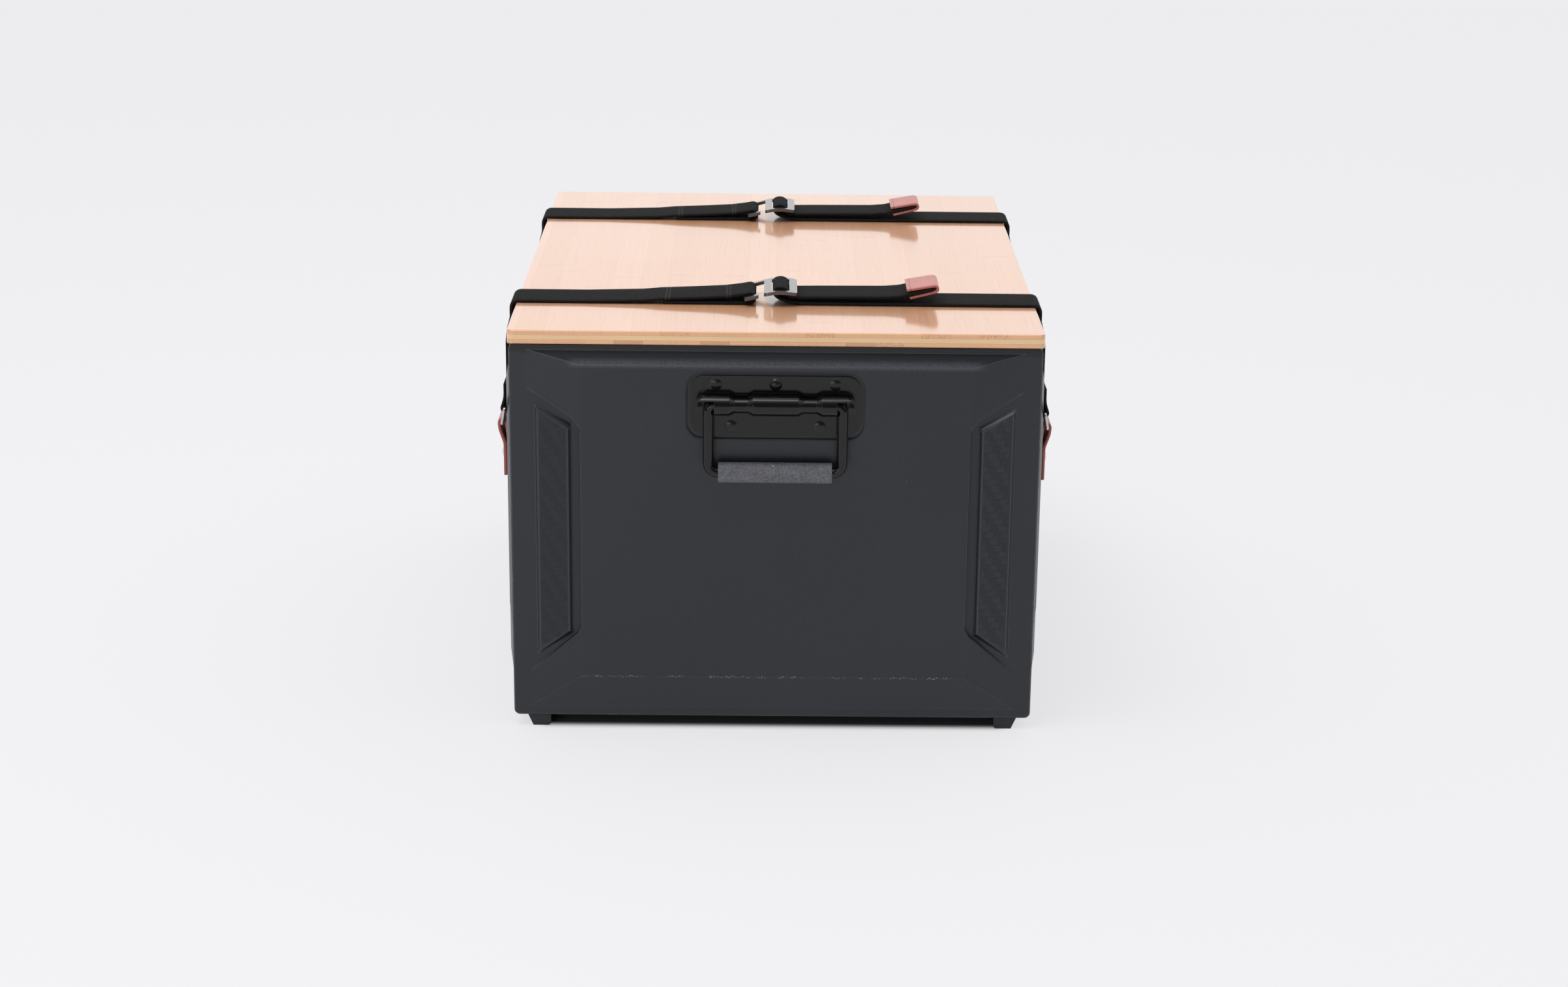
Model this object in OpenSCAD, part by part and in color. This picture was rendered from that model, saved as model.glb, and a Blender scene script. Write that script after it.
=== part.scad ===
// Chuck box: a moulded panel box on four feet, with a lift-off bamboo lid,
// two webbing lid straps and a drop handle at each end.
// +Z up, origin on the floor under the middle of the box.
// The front end panel faces -Y, and the straps run along X.

/* [Lid] */
// Width of the lid along X
lid_w = 400; // [360:1:480]
// Length of the lid along Y
lid_l = 530; // [450:1:640]
// Thickness of the bamboo board
lid_t = 10.5; // [8:0.5:16]
// Corner radius of the board in plan
lid_corner_r = 5; // [2:0.5:9]
// Rounding of the board's long edges
lid_edge_r = 1.2; // [0.5:0.1:2]
// Gap between the rim and the resting lid
lid_seat_gap = 0.2; // [0.1:0.1:0.5]
// Width of each batten under the lid
batten_w = 30; // [20:1:40]
// Height of each batten
batten_t = 10; // [6:1:16]
// Gap from a batten's end or side to the wall beside it
batten_gap = 6; // [4:1:12]

/* [Box] */
// Height of the walls, from their lower edge to the rim
wall_h = 294.5; // [280:0.5:360]
// Height of the walls' lower edge above the floor
foot_h = 9; // [8:0.5:14]
// Thickness of the moulded walls
wall_t = 4; // [3.5:0.1:6]
// Overhang of the lid past the end panels
end_overhang = 2; // [1:0.5:6]
// Overhang of the lid past the rims of the end panels at each side
side_overhang = 1; // [0.5:0.5:4]
// Step from an end panel's edge back to the side panel
side_step = 1; // [0.5:0.5:3]
// Corner radius of the end panels
panel_corner_r = 4.5; // [3:0.5:8]
// Bevel of the panels' outer edges
panel_edge = 0.8; // [0.4:0.1:1.2]

/* [Relief] */
// Height of the raised field over the rim
field_h = 5; // [4:0.5:7]
// Height of the side walls' raised field over their rim
side_field_h = 8; // [6:0.5:9]
// Width of the flat rim at the sides of the relief
rim_side = 13; // [8:1:20]
// Depth of the flat rim over the relief
rim_top = 4.5; // [3:0.5:12]
// Depth of the flat rim under the relief
rim_bottom = 7.5; // [5:0.5:12]
// Run of the slopes at the sides of the field
slope_side = 40; // [30:1:46]
// Run of the slope over the field
slope_top = 10; // [6:1:16]
// Run of the slope over the field of the side walls
side_slope_top = 36; // [20:1:44]
// Run of the slope under the field
slope_bottom = 26.5; // [16:0.5:36]
// Distance from the rim's top down to the upper end of a side notch
notch_drop = 33.5; // [30:0.5:40]
// Distance from the wall's lower edge up to the lower end of a side notch
notch_rise = 36; // [30:0.5:44]
// Gap between a notch's inner wall and its pad
pad_gap = 7.5; // [5:0.5:10]
// Width of a pad
pad_w = 26.5; // [18:0.5:30]
// Bevel round a pad
pad_bevel = 2; // [1:0.5:3]

/* [Feet] */
// Length of a foot along Y
foot_l = 40; // [24:1:60]
// Width of a foot along X
foot_w = 17.5; // [12:0.5:26]
// Distance from a foot's outer side to the end panel's edge
foot_inset = 10.5; // [8:0.5:16]
// Height of the sunk belly of the floor pan
belly_h = 6; // [3:0.5:7]

/* [Handles] */
// Width of the base plate
plate_w = 128; // [124:1:150]
// Height of the base plate
plate_h = 46; // [44:1:52]
// Corner radius of the base plate
plate_r = 11; // [6:1:14]
// Thickness of the base plate
plate_t = 2; // [1.5:0.1:2.5]
// Thickness of the cover sheet
cover_t = 1.6; // [1.2:0.1:2]
// Length of the rolled hood
hood_w = 118; // [114:1:122]
// Outer radius of the rolled hood
hood_r = 7.8; // [7.4:0.1:8.4]
// Diameter of the bail rod
rod_d = 8; // [6:0.1:8.4]
// Width of the bail between its rod centres
bail_w = 100; // [96:1:104]
// Drop from the bail's pivot to its grip
bail_drop = 51.7; // [44:0.1:60]
// Length of the grip
grip_w = 85; // [70:1:90]
// Diameter of the grip
grip_d = 15.5; // [14:0.5:15.5]
// Depth of the handle's centre line below the rim
handle_drop = 42.5; // [40:0.5:60]
// Running clearance of the bail in its hood
bail_clearance = 0.1; // [0.05:0.01:0.1]

/* [Straps] */
// Distance from the box's middle to each strap's centre line
strap_y = 159.5; // [120:0.5:180]
// Width of the webbing
web_w = 38; // [30:1:42]
// Thickness of the webbing
web_t = 2.2; // [1.6:0.1:2.6]
// Gap between pieces that lie on each other
lay_gap = 0.3; // [0.2:0.05:0.4]
// Wire diameter of a ring
ring_wire = 2.8; // [2:0.1:3.2]
// Height of a ring between its wire centres
ring_h = 12; // [11:0.5:16]
// Height of a ring's upper wire above the walls' lower edge
ring_z = 221; // [200:1:240]
// Thickness of the strap leather
leather_t = 2.6; // [2:0.1:3]
// Difference between the webbing's width and a leather loop's
leather_margin = 4; // [3:1:8]
// Length of a leather loop below the ring
leather_l = 43; // [36:1:60]
// Thickness of the hook plate
hook_t = 2.6; // [2:0.1:3]
// Length of the hook's frame along X
hook_frame_l = 25.5; // [25:0.5:30]
// Length of the sewn loop at the hook
sewn_loop_l = 72; // [50:1:90]
// Length of the free strap end
tail_l = 105; // [80:1:140]
// Length of the leather end tab
tip_l = 23; // [20:1:30]

/* [Hidden] */

$fn = 48;
eps = 0.01;

// Box
rim_z = foot_h + wall_h;
end_w = lid_w - 2 * side_overhang;
end_y = lid_l / 2 - end_overhang;
inner_y = end_y - wall_t;
side_x = end_w / 2 - side_step;
side_corner_r = 1.5;
side_l = 2 * inner_y;
inner_x = side_x - wall_t;
flange_t = wall_t;
flange_l = 12;
floor_z = foot_h + wall_t;
sill_l = 19;
fit = 0.2;
screw_r = 1.9;
screw_head_r = 3.6;
screw_head_h = 2.2;

// Relief levels, from the walls' lower edge
relief_z0 = rim_bottom;
relief_z1 = relief_z0 + slope_bottom;
relief_z3 = wall_h - rim_top;
notch_slope = 0.66;
notch_corner = 6;
pocket_in = 24;

// Handle
handle_z = rim_z - handle_drop;
recess_gap = 2.5;
recess_depth = 1.8;
plate_face = field_h - recess_depth + plate_t;
pivot_d = plate_face + hood_r + 0.1;
plate_z = handle_z - 2.5;
cover_w = bail_w - rod_d - 0.8;
flange_drop = hood_r + 17.2;
crimp_in = 20.8;
crimp_out = 30.3;
crimp_run = 4;
crimp_r = rod_d / 2 + bail_clearance + cover_t;
bail_end_x = 20;
bend_r = bail_w / 2 - grip_w / 2 - 0.1;
elbow_r = 5;
hood_lift = rod_d / 2 + 0.4;
rivet_r = 2.4;
rivet_head_r = 4.75;
upper_rivet_x = [-44.5, 0, 44.5];
upper_rivet_dz = 14.2;
lower_rivet_x = [-33, 33];
lower_rivet_dz = -17.8;
backing_t = 2;

// Lid
lid_z = rim_z + lid_seat_gap;
lid_top = lid_z + lid_t;
batten_y = inner_y - flange_t - batten_gap - batten_w / 2;
batten_l = 2 * (inner_x - batten_gap);

// Straps: places along X are from the box's middle, heights are over the lid
lid_edge = lid_w / 2 + lay_gap;
web_mid = web_t / 2 + lay_gap;
field_x = side_x + side_field_h;
drop_x = field_x + lay_gap + web_t / 2;
ring_r = ring_wire / 2;
ring_top_x = field_x + lay_gap + web_t + lay_gap / 2 + ring_r;
ring_tilt = 10;
ring_top_z = foot_h + ring_z;
ring_low_x = ring_top_x + ring_h * sin(ring_tilt);
ring_low_z = ring_top_z - ring_h * cos(ring_tilt);
ring_inner_w = web_w + 1;
leather_w = web_w - leather_margin;
leaf_in_x = field_x + lay_gap + leather_t / 2;
leaf_out_x = leaf_in_x + leather_t + lay_gap;
leather_turn_r = ring_r + lay_gap / 2 + leather_t / 2;
leather_end_z = ring_low_z - leather_l;
loop_rivet_z = leather_end_z + 15;
loop_rivet_r = 2;
hook_z = 11;
hook_right = 16;
hook_left = hook_right - hook_frame_l;
hook_side = 4.8;
hook_w = web_w + 1.2 + 2 * hook_side;
hook_bar = 6;
hook_mid_w = 4;
hook_mid_x = (hook_left + hook_right - hook_mid_w) / 2;
hook_cross_x = hook_left - 15;
hook_cross_w = 5;
hook_gap = 4.2;
loop_end_x = hook_cross_x + web_t + 7;
loop_r = 4;
tail_x = hook_right + 4;
tail_z = 6.2;

// Plane helpers

// Rectangle with round corners about its centre
module round_rect(w, h, r) {
  square([w - 2 * r, h], center = true);
  square([w, h - 2 * r], center = true);
  for (sx = [-1, 1], sy = [-1, 1])
    translate([sx * (w / 2 - r), sy * (h / 2 - r)]) circle(r);
}

// Puts a flat shape drawn in (x, z) at y = 0 and gives it depth towards +y
module upright(depth) {
  translate([0, depth, 0]) rotate([90, 0, 0]) linear_extrude(depth) children();
}

// Puts a flat shape drawn in (y, z) at x = 0 and gives it length towards +x
module sideways(len) {
  rotate([90, 0, 90]) linear_extrude(len) children();
}

function unit(v) = v / norm(v);
function left_of(v) = [-v[1], v[0]];

// Mitred normal at point i of a route
function route_normal(p, i) =
  let (a = i > 0 ? unit(p[i] - p[i - 1]) : unit(p[1] - p[0]))
  let (b = i < len(p) - 1 ? unit(p[i + 1] - p[i]) : a)
  let (m = unit(left_of(a) + left_of(b)))
  m / (m * left_of(a));

// Outline of a strip of thickness t along a route
function strip_outline(p, t) = concat(
  [for (i = [0:len(p) - 1]) p[i] + route_normal(p, i) * t / 2],
  [for (i = [len(p) - 1:-1:0]) p[i] - route_normal(p, i) * t / 2]
);

// Points of an arc about c, from angle a0 to a1
function arc(c, r, a0, a1, n = 8) =
  [for (i = [0:n]) c + r * [cos(a0 + (a1 - a0) * i / n), sin(a0 + (a1 - a0) * i / n)]];

// A strip that follows a route in (x, z), of width w about y
module strip(route, t, w, y = 0) {
  translate([0, y - w / 2, 0]) upright(w) polygon(strip_outline(route, t));
}

// Walls
// A wall is drawn with its rim face at y = 0, facing -y, and its lower edge at z = 0.

module raised_frustum(half, slope, z0, z1, z2, z3, h, back) {
  intersection() {
    translate([0, 0, z0]) linear_extrude(z3 - z0)
      polygon([[-half, 0], [-half + slope, -h], [half - slope, -h], [half, 0], [half, back], [-half, back]]);
    translate([-half - 1, 0, 0]) sideways(2 * half + 2)
      polygon([[0, z0], [-h, z1], [-h, z2], [0, z3], [back, z3], [back, z0]]);
  }
}

// Outline of one side notch in (x, z), for a relief that ends at x = half
module notch_outline(half) {
  inner = half - slope_side;
  top = wall_h - notch_drop;
  low = notch_rise;
  lift = notch_corner * 1.35;
  run = slope_side - notch_corner;
  polygon([
    [half + 4, top + 4 * notch_slope],
    [inner + notch_corner, top - run * notch_slope],
    [inner, top - run * notch_slope - lift],
    [inner, low + run * notch_slope * 1.45 + lift * 0.7],
    [inner + notch_corner / 2, low + run * notch_slope * 1.45],
    [half + 4, low - 4 * notch_slope * 1.45]
  ]);
}

// Plane that cuts a pad's end at 45 degrees, rising with angle a along +x
module pad_end_cut(a) {
  rotate([0, -a, 0]) translate([0, -0.6, 0]) rotate([45, 0, 0])
    translate([-60, -20, 0]) cube([120, 40, 30]);
}

module pad(half, h) {
  x0 = half - slope_side + pad_gap;
  x1 = x0 + pad_w;
  run = slope_side - notch_corner;
  top0 = wall_h - notch_drop - run * notch_slope - pad_gap * 0.7;
  low0 = notch_rise + run * notch_slope * 1.45 - 1;
  rise = 29;
  fall = 33.5;
  top1 = top0 + pad_w * tan(rise);
  low1 = low0 - pad_w * tan(fall);
  difference() {
    intersection() {
      translate([0, 0, low1 - 5]) linear_extrude(top1 - low1 + 10)
        polygon([
          [x1, 0.5], [x1, -0.6], [x1 - pad_bevel, -0.6 - pad_bevel],
          [x0 + pad_bevel, -h + 0.6], [x0, -h + 0.6 + pad_bevel], [x0, 0.5]
        ]);
      translate([0, -h - 2, 0]) upright(h + 3)
        polygon([[x0, low0], [x1, low1], [x1, top1], [x0, top0]]);
    }
    translate([x1, 0, top1]) pad_end_cut(rise);
    translate([x1, 0, low1]) mirror([0, 0, 1]) pad_end_cut(fall);
  }
}

module relief_wall(w, z_bottom_pocket, z_top_pocket, corner_r, h, top_run) {
  half = w / 2 - rim_side;
  difference() {
    union() {
      bevelled_plate(w, wall_h, wall_t, corner_r, panel_edge);
      difference() {
        raised_frustum(half, slope_side, relief_z0, relief_z1, relief_z3 - top_run, relief_z3, h, wall_t / 2);
        for (s = [0, 1]) mirror([s, 0, 0])
          translate([0, -h - 1, 0]) upright(h + 1) notch_outline(half);
      }
      for (s = [0, 1]) mirror([s, 0, 0]) pad(half, h);
    }
    translate([0, wall_t, 0])
      raised_frustum(half - pocket_in, slope_side, z_bottom_pocket, z_bottom_pocket + slope_bottom,
        z_top_pocket - top_run, z_top_pocket, h, 1);
  }
}

// Upright plate with round corners and a bevelled outer face
module bevelled_plate(w, h, t, r, c) {
  translate([0, c, h / 2]) upright(t - c) round_rect(w, h, r);
  translate([r - w / 2, 0, 0]) sideways(w - 2 * r) polygon([[0, c], [c, 0], [c, h], [0, h - c]]);
  translate([0, 0, r]) linear_extrude(h - 2 * r)
    polygon([[c - w / 2, 0], [-w / 2, c], [w / 2, c], [w / 2 - c, 0]]);
  for (x = [r - w / 2, w / 2 - r], z = [r, h - r])
    translate([x, 0, z]) rotate([-90, 0, 0]) cylinder(r1 = r - c, r2 = r, h = c);
}

corner_screw_z = [50, 150, 250];

module end_panel_flat() {
  difference() {
    union() {
      relief_wall(end_w, relief_z0 + 10, handle_z - foot_h - 40, panel_corner_r, field_h, slope_top);
      // corner flanges that the side panels are screwed to
      for (s = [-1, 1])
        translate([s * (inner_x - fit - flange_t / 2) - flange_t / 2, wall_t - eps, wall_t + fit])
          cube([flange_t, flange_l + eps, wall_h - batten_t - 16]);
      // sill that rests on the floor pan
      translate([-(inner_x - foot_w), wall_t - eps, wall_t + fit])
        cube([2 * (inner_x - foot_w), sill_l + eps, flange_t]);
      for (s = [-1, 1])
        translate([s * (inner_x - foot_w / 2 - flange_t) - foot_w / 2, wall_t - eps, wall_t + fit])
          cube([foot_w, sill_l + eps, flange_t]);
    }
    for (s = [-1, 1], z = corner_screw_z)
      translate([s * (inner_x - fit - flange_t / 2), wall_t + flange_l / 2, z])
        rotate([0, 90, 0]) cylinder(r = screw_r + 0.1, h = flange_t + 1, center = true);
    for (s = [-1, 1], y = foot_screw_y)
      translate([s * foot_x, end_y - y, 0])
        cylinder(r = screw_r + 0.1, h = 40);
    // seat of the handle plate and its rivet holes
    translate([0, -field_h - 1, plate_z - foot_h]) upright(1 + recess_depth)
      round_rect(plate_w + 2 * recess_gap, plate_h + 2 * recess_gap, plate_r + recess_gap / 2);
    for (p = rivet_places())
      translate([p[0], wall_t + 1, p[1] - foot_h]) rotate([90, 0, 0])
        cylinder(r = rivet_r + 0.1, h = field_h + wall_t + 2);
  }
}

function rivet_places() = concat(
  [for (x = upper_rivet_x) [x, handle_z + upper_rivet_dz]],
  [for (x = lower_rivet_x) [x, handle_z + lower_rivet_dz]]
);

module at_end(rear) {
  rotate([0, 0, rear ? 180 : 0]) translate([0, -end_y, 0]) children();
}

module end_panel(rear) {
  color([0.24, 0.24, 0.25]) at_end(rear) translate([0, 0, foot_h]) end_panel_flat();
}

module side_panel(right) {
  color([0.24, 0.24, 0.25])
  rotate([0, 0, right ? 90 : -90]) translate([0, -side_x, foot_h]) difference() {
    relief_wall(side_l - 2 * fit, relief_z0 + 10, relief_z3 - 8, side_corner_r, side_field_h, side_slope_top);
    // blind holes for the corner screws
    for (s = [-1, 1], z = corner_screw_z)
      translate([s * (inner_y - flange_l / 2), wall_t + eps, z]) rotate([90, 0, 0])
        cylinder(r = screw_r + 0.1, h = wall_t - 1);
    // holes for the rivets of the leather loops
    for (s = [-1, 1])
      translate([s * strap_y, wall_t + 1, loop_rivet_z - foot_h]) rotate([90, 0, 0])
        cylinder(r = loop_rivet_r + 0.1, h = side_field_h + wall_t + 2);
  }
}

module corner_screws() {
  color([0.6, 0.6, 0.62])
  for (sx = [0, 1], sy = [0, 1]) mirror([sx, 0, 0]) mirror([0, sy, 0])
    for (z = corner_screw_z)
      translate([inner_x - fit - flange_t, end_y - wall_t - flange_l / 2, foot_h + z]) {
        rotate([0, 90, 0]) cylinder(r = screw_r, h = flange_t + fit + wall_t - 1.4);
        translate([-screw_head_h, 0, 0]) rotate([0, 90, 0])
          cylinder(r1 = screw_head_r - 1, r2 = screw_head_r, h = screw_head_h);
      }
}

// Floor and feet

foot_x = end_w / 2 - foot_inset - foot_w / 2;
foot_screw_y = [end_y - wall_t - 5.5, end_y - wall_t - 14];

module floor_pan() {
  belly_x = foot_x - foot_w / 2 - 3;
  belly_y = inner_y - 10;
  color([0.17, 0.17, 0.18]) difference() {
    union() {
      translate([0, 0, foot_h + wall_t / 2])
        cube([2 * (inner_x - fit), 2 * (inner_y - fit), wall_t], center = true);
      translate([-belly_x, -belly_y, foot_h - belly_h]) cube([2 * belly_x, 2 * belly_y, belly_h + 1]);
    }
    translate([-belly_x + wall_t, -belly_y + wall_t, foot_h - belly_h + wall_t])
      cube([2 * (belly_x - wall_t), 2 * (belly_y - wall_t), belly_h + 10]);
    for (sx = [-1, 1], sy = [-1, 1], y = foot_screw_y)
      translate([sx * foot_x, sy * y, foot_h - 1]) cylinder(r = screw_r + 0.1, h = wall_t + 2);
  }
}

// Tapered foot: sloped outer side, eased inner side
module foot(right, rear) {
  color([0.15, 0.15, 0.16])
  mirror([right ? 0 : 1, 0, 0]) mirror([0, rear ? 0 : 1, 0]) difference() {
    translate([0, end_y - 1, 0]) rotate([90, 0, 0]) linear_extrude(foot_l)
      polygon([
        [foot_x - foot_w / 2, foot_h], [foot_x - foot_w / 2, 1.6], [foot_x - foot_w / 2 + 1.6, 0],
        [foot_x + foot_w / 2 - 4, 0], [foot_x + foot_w / 2, foot_h]
      ]);
    for (y = foot_screw_y) translate([foot_x, y, -1]) {
      cylinder(r = screw_r + 0.1, h = foot_h + 2);
      cylinder(r = screw_head_r + 0.3, h = 1 + 4.5);
    }
  }
}

module foot_screws() {
  color([0.6, 0.6, 0.62])
  for (sx = [-1, 1], sy = [-1, 1], y = foot_screw_y)
    translate([sx * foot_x, sy * y, 4.5]) {
      cylinder(r = screw_r, h = floor_z + fit + flange_t - 4.5 + 3);
      translate([0, 0, -screw_head_h]) cylinder(r = screw_head_r, h = screw_head_h);
      // nut on the sill
      translate([0, 0, floor_z + fit + flange_t - 4.5]) cylinder(r = 3.4, h = 3);
    }
}

// Lid

module lid_board() {
  color([0.87, 0.66, 0.44]) difference() {
    intersection() {
      translate([0, 0, lid_z]) linear_extrude(lid_t) round_rect(lid_w, lid_l, lid_corner_r);
      translate([0, -lid_l / 2, lid_z + lid_t / 2]) upright(lid_l) round_rect(lid_w, lid_t, lid_edge_r);
      translate([-lid_w / 2, 0, lid_z + lid_t / 2]) sideways(lid_w) round_rect(lid_l, lid_t, lid_edge_r);
    }
    for (s = [-1, 1], x = lid_screw_x()) translate([x, s * batten_y, lid_z - 1])
      cylinder(r = screw_r - 0.3, h = 1 + lid_t * 0.6);
  }
}

function lid_screw_x() = [for (k = [-1, 0, 1]) k * (batten_l / 2 - 22)];

module lid_batten(rear) {
  s = rear ? 1 : -1;
  color([0.84, 0.62, 0.40]) difference() {
    translate([0, s * batten_y, lid_z - batten_t / 2]) cube([batten_l, batten_w, batten_t], center = true);
    for (x = lid_screw_x()) translate([x, s * batten_y, lid_z - batten_t - 1]) {
      cylinder(r = screw_r + 0.1, h = batten_t + 2);
      cylinder(r = screw_head_r + 0.3, h = 1 + screw_head_h + 0.3);
    }
  }
}

module lid_screws() {
  color([0.6, 0.6, 0.62])
  for (s = [-1, 1], x = lid_screw_x())
    translate([x, s * batten_y, lid_z - batten_t + 0.3]) {
      cylinder(r = screw_r - 0.4, h = batten_t + lid_t * 0.5);
      cylinder(r = screw_head_r, h = screw_head_h);
    }
}

// Drop handle
// Drawn on an end wall whose rim face is at y = 0, facing -y, at its real height.

module handle_plate(rear) {
  color([0.07, 0.07, 0.08]) at_end(rear) difference() {
    translate([0, -plate_face, plate_z]) upright(plate_t) round_rect(plate_w, plate_h, plate_r);
    for (p = rivet_places()) translate([p[0], 0, p[1]]) rotate([90, 0, 0])
      cylinder(r = rivet_r + 0.1, h = 20, center = true);
  }
}

module along_x(r, x0, x1) {
  translate([x0, 0, 0]) rotate([0, 90, 0]) cylinder(r = r, h = x1 - x0);
}

// One crimped waist of the hood, as a solid of the given wall radii
module hood_solid(r_full, r_waist) {
  w = hood_w / 2;
  waist_in = crimp_in - crimp_run;
  waist_out = crimp_out + crimp_run;
  rotate([0, 90, 0]) rotate_extrude() polygon([
    [0, -w], [r_full, -w], [r_full, -waist_out], [r_waist, -crimp_out], [r_waist, -crimp_in],
    [r_full, -waist_in], [r_full, waist_in], [r_waist, crimp_in], [r_waist, crimp_out],
    [r_full, waist_out], [r_full, w], [0, w]
  ]);
}

module handle_cover(rear) {
  inner_r = hood_r - cover_t;
  slot_in = bail_w / 2 - rod_d / 2 - 0.4;
  slot_out = bail_w / 2 + rod_d / 2 + 0.4;
  color([0.06, 0.06, 0.07]) at_end(rear) difference() {
    union() {
      translate([0, -pivot_d, handle_z]) difference() {
        union() {
          intersection() {
            hood_solid(hood_r, crimp_r);
            // the hood's upper corners are drawn round
            translate([0, -20, -4]) upright(40) round_rect(hood_w, 2 * hood_r + 8, hood_r + 1);
          }
          // web that joins the roll to the flange
          translate([-cover_w / 2, pivot_d - plate_face - cover_t, -flange_drop + 8])
            cube([cover_w, cover_t, flange_drop - 8]);
        }
        hood_solid(inner_r, crimp_r - cover_t);
        // room for the bail's legs, from hanging to level
        for (s = [-1, 1]) translate([s * (slot_in + slot_out) / 2, 0, 0]) {
          translate([-(slot_out - slot_in) / 2, -hood_r - 1, -hood_r - 1])
            cube([slot_out - slot_in, hood_r + 1 + rod_d / 2 + 0.4, hood_r + 1 + hood_lift]);
          translate([-(slot_out - slot_in) / 2, -hood_r - 1, -hood_r - 1])
            cube([slot_out - slot_in, 2 * hood_r + 2, hood_r + 1]);
        }
        for (s = [0, 1]) mirror([s, 0, 0]) translate([slot_out - eps, -hood_r - 1, -hood_r - 1])
          cube([20, 2 * hood_r + 2, hood_r - 3]);
      }
      translate([0, -plate_face - cover_t, handle_z - flange_drop / 2 - 3]) upright(cover_t)
        round_rect(cover_w, flange_drop - 6, 3);
    }
    for (x = lower_rivet_x) translate([x, 0, handle_z + lower_rivet_dz]) rotate([90, 0, 0])
      cylinder(r = rivet_r + 0.1, h = 20, center = true);
    // keep the roll clear of the base plate
    translate([-hood_w / 2 - 1, -plate_face + eps, handle_z - 60]) cube([hood_w + 2, 20, 120]);
    translate([0, -pivot_d, handle_z]) along_x(inner_r, -crimp_in + crimp_run, crimp_in - crimp_run);
  }
}

module handle_bail(rear) {
  x = bail_w / 2;
  r = rod_d / 2;
  color([0.07, 0.07, 0.08]) at_end(rear) translate([0, -pivot_d, handle_z]) {
    for (s = [0, 1]) mirror([s, 0, 0]) {
      along_x(r, bail_end_x, x - elbow_r);
      translate([x - elbow_r, 0, -elbow_r]) rotate([90, 0, 0])
        rotate_extrude(angle = 90) translate([elbow_r, 0]) circle(r);
      translate([x, 0, -bail_drop + bend_r]) cylinder(r = r, h = bail_drop - bend_r - elbow_r);
      translate([x - bend_r, 0, -bail_drop + bend_r]) rotate([90, 0, 0]) rotate([0, 0, -90])
        rotate_extrude(angle = 90) translate([bend_r, 0]) circle(r);
    }
    translate([0, 0, -bail_drop]) along_x(r, -x + bend_r, x - bend_r);
  }
}

module handle_grip(rear) {
  color([0.2, 0.2, 0.21]) at_end(rear) translate([0, -pivot_d, handle_z - bail_drop]) difference() {
    along_x(grip_d / 2, -grip_w / 2, grip_w / 2);
    along_x(rod_d / 2 + 0.05, -grip_w, grip_w);
  }
}

// Domed head with its flat side at z = 0
module dome(r, h) {
  ball = (r * r + h * h) / (2 * h);
  intersection() {
    translate([0, 0, h - ball]) sphere(ball);
    cylinder(r = r + 1, h = h + 1);
  }
}

module handle_rivets(rear) {
  color([0.1, 0.1, 0.11]) at_end(rear)
  for (i = [0:len(rivet_places()) - 1]) {
    p = rivet_places()[i];
    upper = i < len(upper_rivet_x);
    face = upper ? plate_face : plate_face + cover_t;
    translate([p[0], -face, p[1]]) rotate([90, 0, 0]) {
      dome(rivet_head_r, i == 1 ? 2.6 : 1.1);
      translate([0, 0, -face - wall_t - backing_t - 1.5])
        cylinder(r = rivet_r, h = face + wall_t + backing_t + 1.6);
    }
    translate([p[0], wall_t + backing_t, p[1]]) rotate([-90, 0, 0]) dome(rivet_head_r, 2);
  }
}

// Steel strip behind the wall that spreads the handle's load
module handle_backing_strip(rear) {
  color([0.55, 0.55, 0.57]) at_end(rear) difference() {
    translate([0, wall_t, handle_z + (upper_rivet_dz + lower_rivet_dz) / 2]) upright(backing_t)
      round_rect(plate_w - 16, upper_rivet_dz - lower_rivet_dz + 14, 4);
    for (p = rivet_places()) translate([p[0], 0, p[1]]) rotate([90, 0, 0])
      cylinder(r = rivet_r + 0.1, h = 40, center = true);
  }
}

// Straps
// Routes are drawn in (x, z), with z over the lid's top face.

lid_side_z = -lid_t - lid_seat_gap / 2;

// Down the lid's edge, for the +x side
function edge_route() = concat(
  [[lid_edge + web_t / 2, lid_side_z]],
  arc([lid_w / 2 - 1, -1], 1 + web_mid, 0, 90, 5)
);

// Over the lid, round the hook's cross bar, and back below itself as a sewn loop
function left_half_route() = let (e = loop_end_x, m = web_mid) concat(
  [for (p = edge_route()) [-p[0], p[1]]],
  [
    [e - sewn_loop_l - 60, m],
    [e - sewn_loop_l - 16, m + 1.2],
    [e - sewn_loop_l - 2, m + web_t + lay_gap],
    [e - 46, m + web_t + 1.5],
    [e - 24, m + web_t + 2.7],
    [e - 11, m + web_t + 4.4]
  ],
  arc([e - web_t / 2 - loop_r, m + loop_r], loop_r, 80, -80, 8),
  [[e - 14, m], [e - sewn_loop_l, m]]
);

// Up through the hook's frame, over its middle bar and down again
function right_half_route() = let (c = hook_mid_x + hook_mid_w / 2, m = web_mid) concat(
  edge_route(),
  [
    [hook_right + 8, m],
    [hook_right + 1, m + 0.6],
    [c + 5, m + 1.9],
    [c - 1.5, m + 4.2],
    [c - 4.4, m + 6.6],
    [c - 5.2, hook_z - 0.8]
  ],
  [for (a = [170:-20:10]) [c + 5.2 * cos(a), hook_z - 0.1 + 3 * sin(a)]],
  [
    [c + 5.3, hook_z - 2],
    [c + 5.8, hook_z - 3.4],
    [c + 7.6, tail_z + 0.35],
    [c + 10.5, tail_z],
    [tail_x + 0.3, tail_z]
  ]
);

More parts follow.
